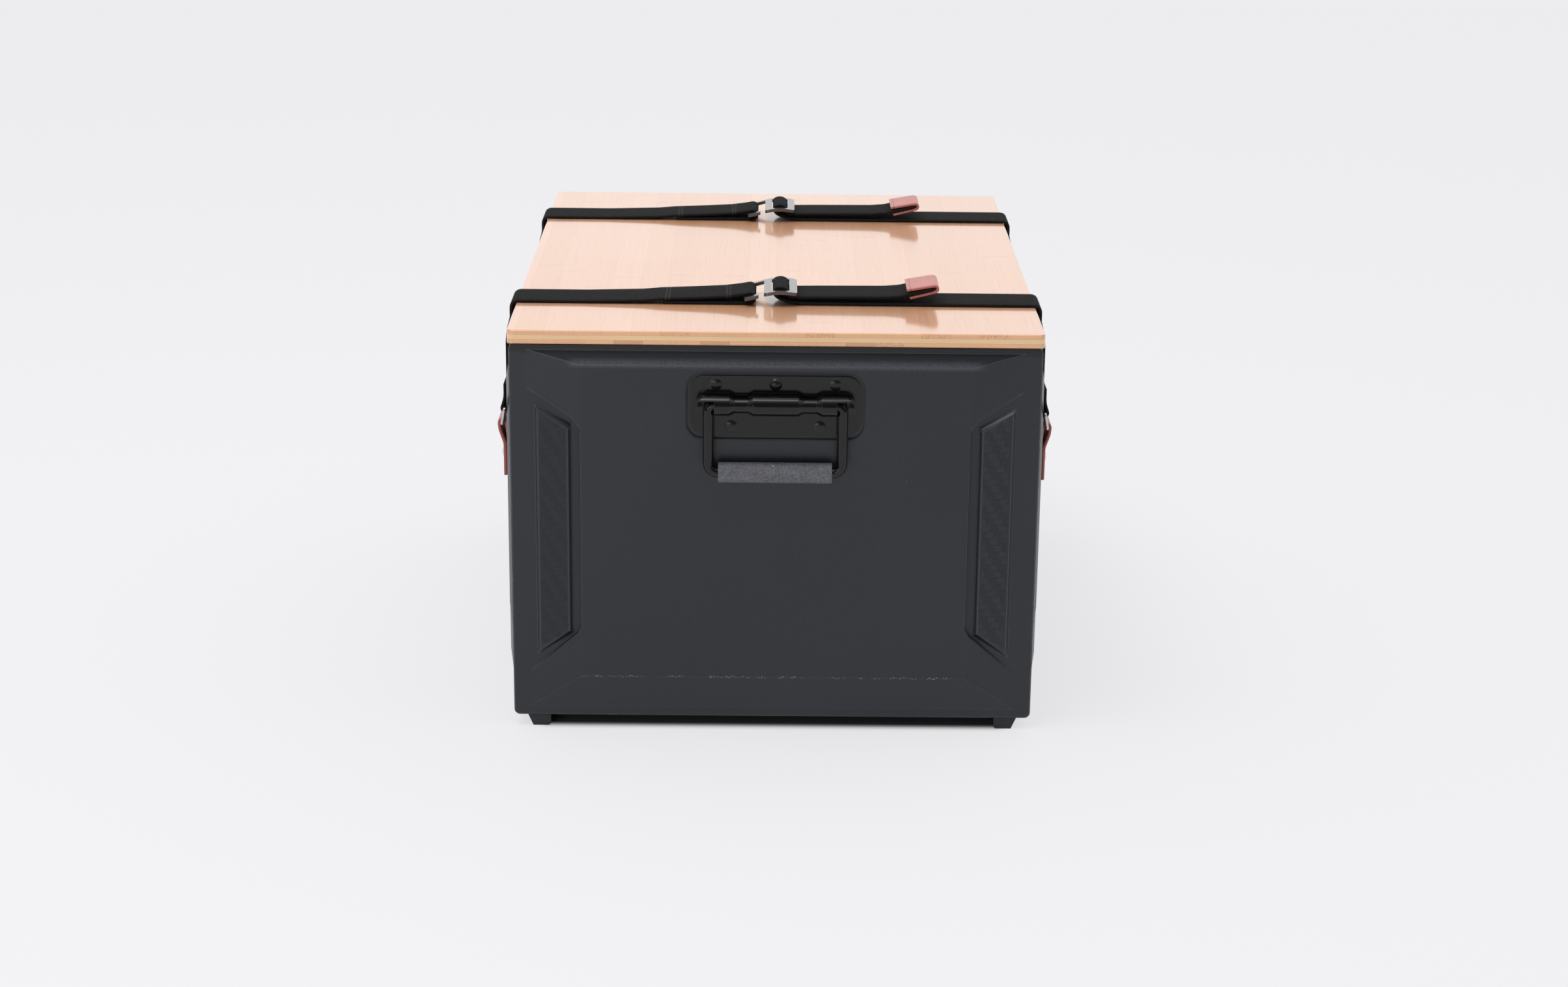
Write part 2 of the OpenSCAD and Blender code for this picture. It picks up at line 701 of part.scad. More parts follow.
function tail_route() = [
  [tail_x + 1.2, tail_z], [tail_x + 14, tail_z + 0.3], [tail_x + tail_l * 0.38, tail_z + 0.5],
  [tail_x + tail_l * 0.61, tail_z + 0.7], [tail_x + tail_l * 0.72, tail_z + 1.6],
  [tail_x + tail_l - tip_l + 1, tail_z + 3.4], [tail_x + tail_l - 4.5, tail_z + 7.4]
];

// Leather tab folded round the end of the webbing
function tip_route() =
  let (p = tail_route()[5], q = tail_route()[6], d = unit(q - p), n = left_of(d))
  let (o = web_t / 2 + lay_gap + 1.1, end = q + d * 1.4)
  concat(
    [p - d * 1 - n * (o + 0.4), q - n * o],
    [for (a = [-75:25:75]) end + d * (o * cos(a)) + n * (o * sin(a))],
    [q + n * o, (p + q) / 2 + n * (o + 0.4), p - d * 2 + n * (o + 1)]
  );

module at_strap(rear) {
  translate([0, (rear ? 1 : -1) * strap_y, lid_top]) children();
}

module strap_left_half(rear) {
  color([0.06, 0.06, 0.07]) at_strap(rear) strip(left_half_route(), web_t, web_w);
}

module strap_right_half(rear) {
  color([0.06, 0.06, 0.07]) at_strap(rear) strip(right_half_route(), web_t, web_w);
}

module strap_tail(rear) {
  color([0.06, 0.06, 0.07]) at_strap(rear) strip(tail_route(), web_t, web_w);
}

module strap_tip(rear) {
  color([0.62, 0.32, 0.28]) at_strap(rear) strip(tip_route(), 2, web_w - 1);
}

// Bent hook plate: a frame with a middle bar, and an open hook beside it
function hook_route() = [
  [hook_cross_x, hook_z - 5.5], [hook_cross_x + 5, hook_z - 4.5], [hook_left, hook_z - 1.8],
  [hook_left + 3.5, hook_z - 0.95], [hook_left + 6.5, hook_z - 0.4], [hook_left + 9.5, hook_z - 0.08],
  [hook_mid_x + 1.75, hook_z], [hook_right - 10, hook_z - 0.05], [hook_right - 7, hook_z - 0.25],
  [hook_right - 3.5, hook_z - 0.7], [hook_right, hook_z - 1.3]
];

module strap_hook(rear) {
  hw = hook_w / 2;
  color([0.45, 0.46, 0.49]) at_strap(rear) intersection() {
    strip(hook_route(), hook_t, hook_w);
    linear_extrude(hook_z + 8) difference() {
      union() {
        translate([(hook_left + hook_right) / 2, 0]) round_rect(hook_frame_l, hook_w, 3);
        translate([hook_cross_x, hw - hook_side]) square([hook_left - hook_cross_x + 3.5, hook_side]);
        translate([hook_cross_x, -hw]) square([hook_cross_w, hook_w]);
        translate([hook_cross_x, -hw]) square([hook_left - hook_cross_x - hook_gap, hook_side]);
      }
      for (w = [[hook_left + hook_bar, hook_mid_x], [hook_mid_x + hook_mid_w, hook_right - hook_bar]])
        translate([w[0], -web_w / 2 - 0.6]) square([w[1] - w[0], web_w + 1.2]);
    }
  }
}

// Side drop, from the lid's lower edge to the ring, sewn round the ring's upper wire
function drop_route() =
  let (side = lid_edge + web_t / 2, z0 = ring_top_z, x = drop_x + 0.1)
  let (turn = ring_r + lay_gap / 2 + web_t / 2, doubled = x + web_t + lay_gap * 0.6)
  concat(
    [
      [side, lid_z - lid_seat_gap], [side + 0.3, lid_z - 4],
      [x, rim_z - rim_top - side_slope_top - 1], [x, z0]
    ],
    arc([ring_top_x, z0], turn, 180, 400, 10),
    [[doubled + 0.3, z0 + 8], [doubled, z0 + 12], [doubled, z0 + 20]]
  );

module strap_drop(rear, right) {
  color([0.06, 0.06, 0.07]) mirror([right ? 0 : 1, 0, 0])
    strip(drop_route(), web_t, web_w, (rear ? 1 : -1) * strap_y);
}

module side_ring(rear, right) {
  hy = ring_inner_w / 2 + ring_r;
  corner = ring_r + 0.2;
  color([0.78, 0.78, 0.78]) mirror([right ? 0 : 1, 0, 0])
  translate([ring_top_x, (rear ? 1 : -1) * strap_y, ring_top_z]) rotate([0, -ring_tilt, 0]) {
    for (z = [0, -ring_h]) translate([0, 0, z]) rotate([90, 0, 0])
      cylinder(r = ring_r, h = 2 * (hy - corner), center = true);
    for (s = [-1, 1]) {
      translate([0, s * hy, -ring_h + corner]) cylinder(r = ring_r, h = ring_h - 2 * corner);
      for (z = [-corner, -ring_h + corner]) translate([0, s * (hy - corner), z])
        rotate([0, 90, 0]) rotate([0, 0, z == -corner ? (s > 0 ? 90 : 180) : (s > 0 ? 0 : -90)])
          rotate_extrude(angle = 90) translate([corner, 0]) circle(ring_r);
    }
  }
}

function leather_route() = concat(
  [
    [leaf_in_x, leather_end_z], [leaf_in_x, loop_rivet_z + 14],
    [ring_low_x - leather_turn_r, ring_low_z]
  ],
  arc([ring_low_x, ring_low_z], leather_turn_r, 160, 0, 8),
  [
    [ring_low_x + leather_turn_r - 0.7, ring_low_z - 6],
    [leaf_out_x + 0.3, loop_rivet_z + 12], [leaf_out_x, loop_rivet_z + 8], [leaf_out_x, leather_end_z]
  ]
);

module leather_loop(rear, right) {
  color([0.60, 0.31, 0.26]) mirror([right ? 0 : 1, 0, 0]) difference() {
    strip(leather_route(), leather_t, leather_w, (rear ? 1 : -1) * strap_y);
    translate([field_x - 5, (rear ? 1 : -1) * strap_y, loop_rivet_z]) rotate([0, 90, 0])
      cylinder(r = loop_rivet_r + 0.1, h = 30);
  }
}

module loop_rivets() {
  out_x = leaf_out_x + leather_t / 2;
  color([0.72, 0.72, 0.72])
  for (sx = [0, 1], sy = [-1, 1]) mirror([sx, 0, 0]) translate([0, sy * strap_y, loop_rivet_z]) {
    translate([out_x, 0, 0]) rotate([0, 90, 0]) dome(6.5, 2.4);
    translate([inner_x - 1, 0, 0]) rotate([0, 90, 0]) cylinder(r = loop_rivet_r, h = out_x - inner_x + 1.1);
    translate([inner_x, 0, 0]) rotate([0, -90, 0]) dome(6, 2);
  }
}

// Nodes

floor_pan();
end_panel(false);  // front_end_panel
end_panel(true);  // rear_end_panel
side_panel(false);  // left_side_panel
side_panel(true);  // right_side_panel
corner_screws();
foot(false, false);  // front_left_foot
foot(true, false);  // front_right_foot
foot(false, true);  // rear_left_foot
foot(true, true);  // rear_right_foot
foot_screws();
lid_board();
lid_batten(false);  // front_lid_batten
lid_batten(true);  // rear_lid_batten
lid_screws();
handle_plate(false);  // front_handle_plate
handle_cover(false);  // front_handle_cover
handle_bail(false);  // front_handle_bail
handle_grip(false);  // front_handle_grip
handle_rivets(false);  // front_handle_rivets
handle_backing_strip(false);  // front_handle_backing_strip
handle_plate(true);  // rear_handle_plate
handle_cover(true);  // rear_handle_cover
handle_bail(true);  // rear_handle_bail
handle_grip(true);  // rear_handle_grip
handle_rivets(true);  // rear_handle_rivets
handle_backing_strip(true);  // rear_handle_backing_strip
strap_left_half(false);  // front_strap_left_half
strap_right_half(false);  // front_strap_right_half
strap_tail(false);  // front_strap_tail
strap_tip(false);  // front_strap_tip
strap_hook(false);  // front_strap_hook
strap_drop(false, false);  // front_strap_left_drop
strap_drop(false, true);  // front_strap_right_drop
strap_left_half(true);  // rear_strap_left_half
strap_right_half(true);  // rear_strap_right_half
strap_tail(true);  // rear_strap_tail
strap_tip(true);  // rear_strap_tip
strap_hook(true);  // rear_strap_hook
strap_drop(true, false);  // rear_strap_left_drop
strap_drop(true, true);  // rear_strap_right_drop
side_ring(false, false);  // front_left_ring
side_ring(false, true);  // front_right_ring
side_ring(true, false);  // rear_left_ring
side_ring(true, true);  // rear_right_ring
leather_loop(false, false);  // front_left_leather_loop
leather_loop(false, true);  // front_right_leather_loop
leather_loop(true, false);  // rear_left_leather_loop
leather_loop(true, true);  // rear_right_leather_loop
loop_rivets();
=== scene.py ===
"""Looks of the chuck box: studio, finishes and the soft pieces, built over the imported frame."""

import logging
import math
from dataclasses import dataclass, field
from enum import Enum
from typing import Callable, Iterable, Sequence, Union

import bmesh
import bpy
from mathutils import Matrix, Vector


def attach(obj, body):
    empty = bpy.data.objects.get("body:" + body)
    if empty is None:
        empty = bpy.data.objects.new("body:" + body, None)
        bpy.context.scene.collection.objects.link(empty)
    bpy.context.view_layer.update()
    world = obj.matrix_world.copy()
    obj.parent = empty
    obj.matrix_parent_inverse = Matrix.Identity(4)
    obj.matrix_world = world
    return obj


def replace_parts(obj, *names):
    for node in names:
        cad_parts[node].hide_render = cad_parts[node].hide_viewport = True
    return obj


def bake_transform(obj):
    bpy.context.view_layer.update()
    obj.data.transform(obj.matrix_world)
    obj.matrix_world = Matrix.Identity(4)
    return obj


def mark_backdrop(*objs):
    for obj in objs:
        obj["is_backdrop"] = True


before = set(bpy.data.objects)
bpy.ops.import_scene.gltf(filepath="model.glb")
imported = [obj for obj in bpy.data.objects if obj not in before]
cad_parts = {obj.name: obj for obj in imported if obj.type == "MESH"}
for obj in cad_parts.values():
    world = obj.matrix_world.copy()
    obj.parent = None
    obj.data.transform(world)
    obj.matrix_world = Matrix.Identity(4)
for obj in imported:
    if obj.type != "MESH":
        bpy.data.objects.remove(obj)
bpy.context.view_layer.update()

log = logging.getLogger("chuck_box")

MM = 0.001
Colour = tuple[float, float, float]
Flat = tuple[float, float]
Piece = bpy.types.Object
Socket = bpy.types.NodeSocket


def srgb(red: int, green: int, blue: int) -> Colour:
    """Turns a colour as seen on a screen into the linear values that a shader takes.

    Args:
        red: Red, 0 to 255.
        green: Green, 0 to 255.
        blue: Blue, 0 to 255.

    Returns:
        The linear colour.
    """

    def linear(value: int) -> float:
        """One channel."""
        share = value / 255
        return share / 12.92 if share <= 0.04045 else ((share + 0.055) / 1.055) ** 2.4

    return (linear(red), linear(green), linear(blue))


def shade(colour: Colour, factor: float) -> Colour:
    """The colour, lighter or darker by a factor."""
    return tuple(min(1.0, channel * factor) for channel in colour)


# Shader helpers


def operator(operation: str, swapped: bool = False) -> Callable[..., "Signal"]:
    """Makes a method that adds one Math node.

    Args:
        operation: The node's operation.
        swapped: True where the number stands first, as in 1 - mask.

    Returns:
        The method.
    """

    def method(signal: "Signal", *others: "Operand") -> "Signal":
        """Adds the node."""
        operands = (*others, signal) if swapped else (signal, *others)
        return signal.graph.math(operation, *operands)

    return method


class Signal:
    """A number that varies over a surface. Arithmetic on it adds Math nodes."""

    def __init__(self, graph: "Graph", socket: Socket) -> None:
        """Wraps one output socket of a graph."""
        self.graph = graph
        self.socket = socket

    __add__ = operator("ADD")
    __radd__ = operator("ADD", swapped=True)
    __sub__ = operator("SUBTRACT")
    __rsub__ = operator("SUBTRACT", swapped=True)
    __mul__ = operator("MULTIPLY")
    __rmul__ = operator("MULTIPLY", swapped=True)
    __truediv__ = operator("DIVIDE")
    __abs__ = operator("ABSOLUTE")
    floor = operator("FLOOR")
    fraction = operator("FRACT")
    sine = operator("SINE")
    most = operator("MAXIMUM")

    def step(self, low: float, high: float) -> "Signal":
        """Goes smoothly from 0 at low to 1 at high.

        Args:
            low: Value that gives 0.
            high: Value that gives 1.

        Returns:
            The eased share.
        """
        node = self.graph.node(
            "ShaderNodeMapRange",
            {"interpolation_type": "SMOOTHSTEP", "clamp": True},
            {"Value": self, "From Min": low, "From Max": high},
        )
        return Signal(self.graph, node.outputs[0])

    def near(self, place: float, inner: float, outer: float) -> "Signal":
        """1 about a place, which falls to 0 from an inner to an outer distance."""
        return 1 - abs(self - place).step(inner, outer)

    def aside(self) -> "Signal":
        """Distance from the middle of each unit, 0 to 0.5."""
        return abs(self.fraction() - 0.5)

    def within(self, low: float, high: float, blur: float) -> "Signal":
        """1 between two values and 0 outside them, with each limit blurred inwards and outwards.

        Args:
            low: The lower limit's middle.
            high: The upper limit's middle.
            blur: Half the width of each limit.

        Returns:
            The mask.
        """
        return self.step(low - blur, low + blur) * (1 - self.step(high - blur, high + blur))


Operand = Union[Signal, float, int]
Plug = Union[Signal, Socket, float, tuple]


class Graph:
    """The node tree of one material, or of the studio's sky."""

    def __init__(self, owner: Union[bpy.types.Material, bpy.types.World]) -> None:
        """Empties the owner's tree and gives it one shader.

        Args:
            owner: The material, or the world of the sky.
        """
        owner.use_nodes = True
        sky = isinstance(owner, bpy.types.World)
        self.tree = owner.node_tree
        self.tree.nodes.clear()
        self.shader = self.node("ShaderNodeBackground" if sky else "ShaderNodeBsdfPrincipled")
        self.node("ShaderNodeOutputWorld" if sky else "ShaderNodeOutputMaterial", None, {0: self.shader.outputs[0]})

    def plug(self, socket: Socket, value: Plug) -> None:
        """Links a value to a socket, or sets it there.

        Args:
            socket: The input that takes it.
            value: A signal or socket to link, or a number or colour to set.
        """
        if isinstance(value, Signal):
            self.tree.links.new(value.socket, socket)
        elif isinstance(value, Socket):
            self.tree.links.new(value, socket)
        elif isinstance(value, tuple) and len(value) == 3 and socket.type == "RGBA":
            socket.default_value = (*value, 1.0)
        else:
            socket.default_value = value

    def node(self, kind: str, settings: dict | None = None, inputs: dict | None = None) -> bpy.types.Node:
        """Adds one node.

        Args:
            kind: The node's type.
            settings: Its settings, which are set first.
            inputs: Values or links by socket name or number.

        Returns:
            The node.
        """
        made = self.tree.nodes.new(kind)
        for key, value in (settings or {}).items():
            setattr(made, key, value)
        for key, value in (inputs or {}).items():
            self.plug(made.inputs[key], value)
        return made

    def math(self, operation: str, *operands: Operand) -> Signal:
        """Adds a Math node for one operation."""
        node = self.node("ShaderNodeMath", {"operation": operation}, dict(enumerate(operands)))
        return Signal(self, node.outputs[0])

    def place(self) -> tuple[Signal, Signal, Signal]:
        """The place on the piece, in metres along each axis of the shared frame.

        Returns:
            x, y and z.
        """
        coords = self.node("ShaderNodeTexCoord")
        split = self.node("ShaderNodeSeparateXYZ", None, {0: coords.outputs["Object"]})
        return tuple(Signal(self, socket) for socket in split.outputs)

    def laid(self) -> tuple[Signal, Signal]:
        """The place along and across a band, in metres, from its own UV map.

        Returns:
            Along and across.
        """
        coords = self.node("ShaderNodeUVMap", {"uv_map": "laid"})
        split = self.node("ShaderNodeSeparateXYZ", None, {0: coords.outputs[0]})
        return Signal(self, split.outputs[0]), Signal(self, split.outputs[1])

    def vector(self, x: Operand, y: Operand, z: Operand = 0.0) -> Socket:
        """Joins three numbers to a vector."""
        return self.node("ShaderNodeCombineXYZ", None, {0: x, 1: y, 2: z}).outputs[0]

    def noise(self, where: Socket, scale: float = 1.0, detail: float = 2.0, rough: float = 0.5) -> Signal:
        """Cloudy noise.

        Args:
            where: The place to read it at.
            scale: Waves per metre, or per unit of where.
            detail: Octaves.
            rough: How strong the fine octaves are.

        Returns:
            Values about 0.5.
        """
        node = self.node(
            "ShaderNodeTexNoise", None, {"Vector": where, "Scale": scale, "Detail": detail, "Roughness": rough}
        )
        return Signal(self, node.outputs[0])

    def seen(self) -> Signal:
        """1 where the camera, a reflection or a clear piece looks, 0 for light that bounces.

        Returns:
            The mask.
        """
        path = self.node("ShaderNodeLightPath")
        rays = [Signal(self, path.outputs[name]) for name in ("Is Camera Ray", "Is Glossy Ray", "Is Transmission Ray")]
        return rays[0].most(rays[1]).most(rays[2])

    def lot(self, number: Operand, salt: float = 0.0) -> Signal:
        """A fixed draw from 0 to 1 for each whole number."""
        node = self.node("ShaderNodeTexWhiteNoise", {"noise_dimensions": "2D"}, {0: self.vector(number, salt)})
        return Signal(self, node.outputs[0])

    def cells(self, where: Socket, scale: float) -> Signal:
        """Distance to the nearest of scattered points."""
        node = self.node("ShaderNodeTexVoronoi", {"feature": "F1"}, {"Vector": where, "Scale": scale})
        return Signal(self, node.outputs[0])

    def mix(self, share: Plug, low: Plug, high: Plug) -> Socket:
        """Mixes two colours.

        Args:
            share: How much of the second, 0 to 1.
            low: The first colour.
            high: The second colour.

        Returns:
            The colour's socket.
        """
        node = self.node("ShaderNodeMix", {"data_type": "RGBA", "clamp_factor": True}, {0: share, 6: low, 7: high})
        return node.outputs[2]

    def graded(self, share: Plug, colour: Colour, low: float, high: float) -> Socket:
        """One colour between a darker and a lighter shade of itself."""
        return self.mix(share, shade(colour, low), shade(colour, high))

    def soft_edges(self, radius: float) -> Socket:
        """A normal that rounds the piece's sharp edges."""
        return self.node("ShaderNodeBevel", {"samples": 6}, {"Radius": radius}).outputs[0]

    def edge_highlight_mask(self, radius: float, low: float = 0.001, high: float = 0.008) -> Signal:
        """1 along the piece's edges, where its faces turn within a radius of each other.

        Args:
            radius: How far from the edge it reaches, in metres.
            low: Turn that gives 0.
            high: Turn that gives 1.

        Returns:
            The mask.
        """
        flat = self.node("ShaderNodeNewGeometry").outputs["Normal"]
        turn = self.node("ShaderNodeVectorMath", {"operation": "DOT_PRODUCT"}, {0: self.soft_edges(radius), 1: flat})
        return (1 - Signal(self, turn.outputs["Value"])).step(low, high)

    def bump(self, height: Signal, depth: float, normal: Socket | None = None, strength: float = 1.0) -> Socket:
        """Relief from a height of 0 to 1.

        Args:
            height: The relief.
            depth: Its real depth in metres.
            normal: The normal it starts from.
            strength: How much of it shows.

        Returns:
            The normal's socket.
        """
        inputs = {"Height": height, "Distance": depth, "Strength": strength}
        if normal is not None:
            inputs["Normal"] = normal
        return self.node("ShaderNodeBump", None, inputs).outputs[0]

    def surface(self, **values: Plug) -> None:
        """Sets or links the surface's sockets, named with underscores for spaces."""
        for name, value in values.items():
            self.plug(self.shader.inputs[name.replace("_", " ")], value)


class Finish:
    """A finish, made into a material the first time it is used."""

    made: dict[str, bpy.types.Material] = {}
    label: str

    def material(self) -> bpy.types.Material:
        """Makes the material, or takes the one that is already made.

        Returns:
            The material.
        """
        if self.label not in Finish.made:
            material = bpy.data.materials.new(self.label)
            self.paint(Graph(material))
            Finish.made[self.label] = material
        return Finish.made[self.label]

    def paint(self, graph: Graph) -> None:
        """Builds the nodes."""
        raise NotImplementedError

    def dress(self, piece: Piece, *more: "Finish") -> None:
        """Puts the finish on a piece, with any further finishes in the next slots.

        Args:
            piece: The piece.
            more: The further finishes.
        """
        piece.data.materials.clear()
        for finish in (self, *more):
            piece.data.materials.append(finish.material())


class Facing(Enum):
    """Which way a wall runs."""

    END = "along x"
    SIDE = "along y"


@dataclass(frozen=True)
class MouldedWall(Finish):
    """Fine-grained black moulding with woven pads, scuffed rims and specks of dust, and painted highlights and shade
    on its edges, pads and the slope under the lid.
    """

    label: str
    facing: Facing
    half_width: float
    pad_in: float
    pad_out: float
    colour: Colour = srgb(30, 33, 41)
    # Colour of the scuffs and of the painted edge highlights.
    rubbed_and_highlight: Colour = srgb(108, 109, 114)
    dust: Colour = srgb(176, 176, 176)
    # Colour of the painted highlight along the slope's foot.
    slope_highlight_colour: Colour = srgb(86, 88, 94)
    ridge_z: float = 0.0430
    ridge_inset: float = 0.055
    foot_z: float = 0.0098
    slope_z: tuple[float, float] = (0.2890, 0.2990)
    slope_inset: float = 0.046
    pad_z: tuple[float, float] = (0.0800, 0.2390)
    pad_lean: float = 0.55
    block: tuple[float, float] = (0.0064, 0.0052)
    stroke: float = 0.0012
    soften: float = 0.0013

    def weave(self, graph: Graph, along: Signal, up: Signal) -> Signal:
        """Blocks of fine slanted strokes that lean to and fro.

        Args:
            graph: Not used.
            along: Place along the wall.
            up: Height.

        Returns:
            The relief, 0 to 1.
        """
        level = up / self.block[1]
        row = level.floor()
        place = along / self.block[0] + row * 0.5
        turn = (place.floor() * 0.5).fraction().step(0.2, 0.3)
        waves = math.tau / self.stroke
        rising = ((along * 0.86 + up * 0.5) * waves).sine()
        falling = ((along * 0.86 - up * 0.5) * waves).sine()
        strokes = rising * turn + falling * (1 - turn)
        edge_row = level.aside().step(0.40, 0.48)
        edge_column = place.aside().step(0.42, 0.49)
        return (strokes * 0.5 + 0.5) * (1 - edge_row.most(edge_column) * 0.8)

    def paint(self, graph: Graph) -> None:
        """Builds the nodes.

        Args:
            graph: The material's graph.
        """
        x, y, z = graph.place()
        where = graph.vector(x, y, z)
        along = x if self.facing is Facing.END else y
        aside = abs(along)
        broad = graph.noise(where, 7, 3)
        grain = graph.noise(where, 950, 3, 0.7)
        blotch = graph.noise(where, 45, 4, 0.7)
        fine = graph.noise(where, 420, 3, 0.7)
        speckle = graph.noise(where, 650, 2, 0.8).step(0.3, 0.7)

        # The pads end on slanted lines, so their height is measured along the slant.
        lift = (aside - self.pad_in) * self.pad_lean
        low, high = self.pad_z
        pad = aside.within(self.pad_in + 0.0033, self.pad_out - 0.0033, 0.0003)
        pad = pad * (z + lift).step(low - 0.0005, low + 0.0005)
        pad = pad * (1 - (z - lift).step(high - 0.0005, high + 0.0005))
        weave = self.weave(graph, along, z) * pad
        # A painted highlight along the pads' slanted top edges, only where along is positive.
        pad_edge_highlight = (z - lift).within(high + 0.0012, high + 0.0025, 0.0003)
        pad_edge_highlight = pad_edge_highlight * aside.within(self.pad_in + 0.0005, self.pad_out - 0.0005, 0.0005) * along.step(-0.01, 0.01)

        # Scuffs on the rim, dust along the lower ridge and a few stray grains, joined by painted highlights along the
        # edges.
        rim = (aside - self.half_width).step(-0.0016, -0.0002)
        rim = rim.most(1 - z.step(self.foot_z - 0.0006, self.foot_z + 0.0006))
        scuff = rim * blotch.step(0.47, 0.62) * fine.step(0.40, 0.60)
        ridge_end = self.half_width - self.ridge_inset
        ridge = z.near(self.ridge_z, 0.0004, 0.0012) * (1 - aside.step(ridge_end - 0.005, ridge_end + 0.005))
        dust = ridge * blotch.step(0.48, 0.56) * graph.noise(where, 1000, 2, 0.6).step(0.56, 0.64)
        scatter = (1 - graph.cells(where, 55).step(0.018, 0.045)) * graph.noise(where, 18, 1).step(0.56, 0.66)
        # A painted highlight along every edge of the moulding.
        edges = graph.edge_highlight_mask(0.0009) * (0.25 + fine * 0.35)
        wear_and_highlight = (scuff * 0.7).most(dust * 0.9).most(pad_edge_highlight * 0.6).most(scatter * 0.35).most(edges)

        # Painted shade darkens the slope's top under the lid, and a grainy painted highlight runs along its foot.
        low, high = self.slope_z
        slope_end = self.half_width - self.slope_inset
        slope_highlight = z.step(low - 0.0035, low + 0.0008) * (1 - z.step(low + 0.0006, low + 0.0062))
        slope_highlight = slope_highlight * (1 - aside.step(slope_end - 0.006, slope_end + 0.006))

        tone = graph.graded(broad.step(0.3, 0.7) * 0.4 + speckle * 0.6, self.colour, 0.80, 1.22)
        # Painted shade in the grooves of the pads' weave and painted highlights on its strokes.
        tone = graph.mix(pad * (1 - weave) * 0.75, tone, shade(self.colour, 0.3))
        tone = graph.mix(weave.step(0.6, 0.9) * 0.5, tone, shade(self.colour, 2.4))
        # The painted highlight along the slope's foot.
        tone = graph.mix(slope_highlight * (0.45 + speckle * 0.4), tone, self.slope_highlight_colour)
        # Painted shade at the top of the wall, under the lid.
        tone = graph.mix(z.step(high - 0.0035, high) * 0.85, tone, shade(self.colour, 0.15))
        # Scuffs, dust and grains, and the painted edge and pad highlights, in one lighter colour.
        tone = graph.mix(wear_and_highlight, tone, self.rubbed_and_highlight)
        tone = graph.mix(dust, tone, self.dust)
        normal = graph.bump(grain, 0.00012, graph.soft_edges(self.soften), 0.8)
        graph.surface(
            Base_Color=tone,
            Roughness=0.30 + grain * 0.12 + wear_and_highlight * 0.2,
            Normal=graph.bump(weave, 0.0003, normal),
            Specular_IOR_Level=0.5,
        )


@dataclass(frozen=True)
class MouldedBase(Finish):
    """Plain black moulding of the feet and the floor pan."""

    label: str = "moulded_base"
    colour: Colour = srgb(32, 32, 35)

    def paint(self, graph: Graph) -> None:
        """Builds the nodes.

        Args:
            graph: The material's graph.
        """
        where = graph.vector(*graph.place())
        grain = graph.noise(where, 1300, 3, 0.6)
        broad = graph.noise(where, 12, 3)
        dusty = graph.noise(where, 160, 4, 0.7).step(0.60, 0.72)
        tone = graph.graded(broad, self.colour, 0.85, 1.12)
        tone = graph.mix(dusty * 0.18, tone, srgb(120, 118, 116))
        graph.surface(
            Base_Color=tone,
            Roughness=0.5 + grain * 0.14,
            Normal=graph.bump(grain, 0.00008, graph.soft_edges(0.0007), 0.7),
        )


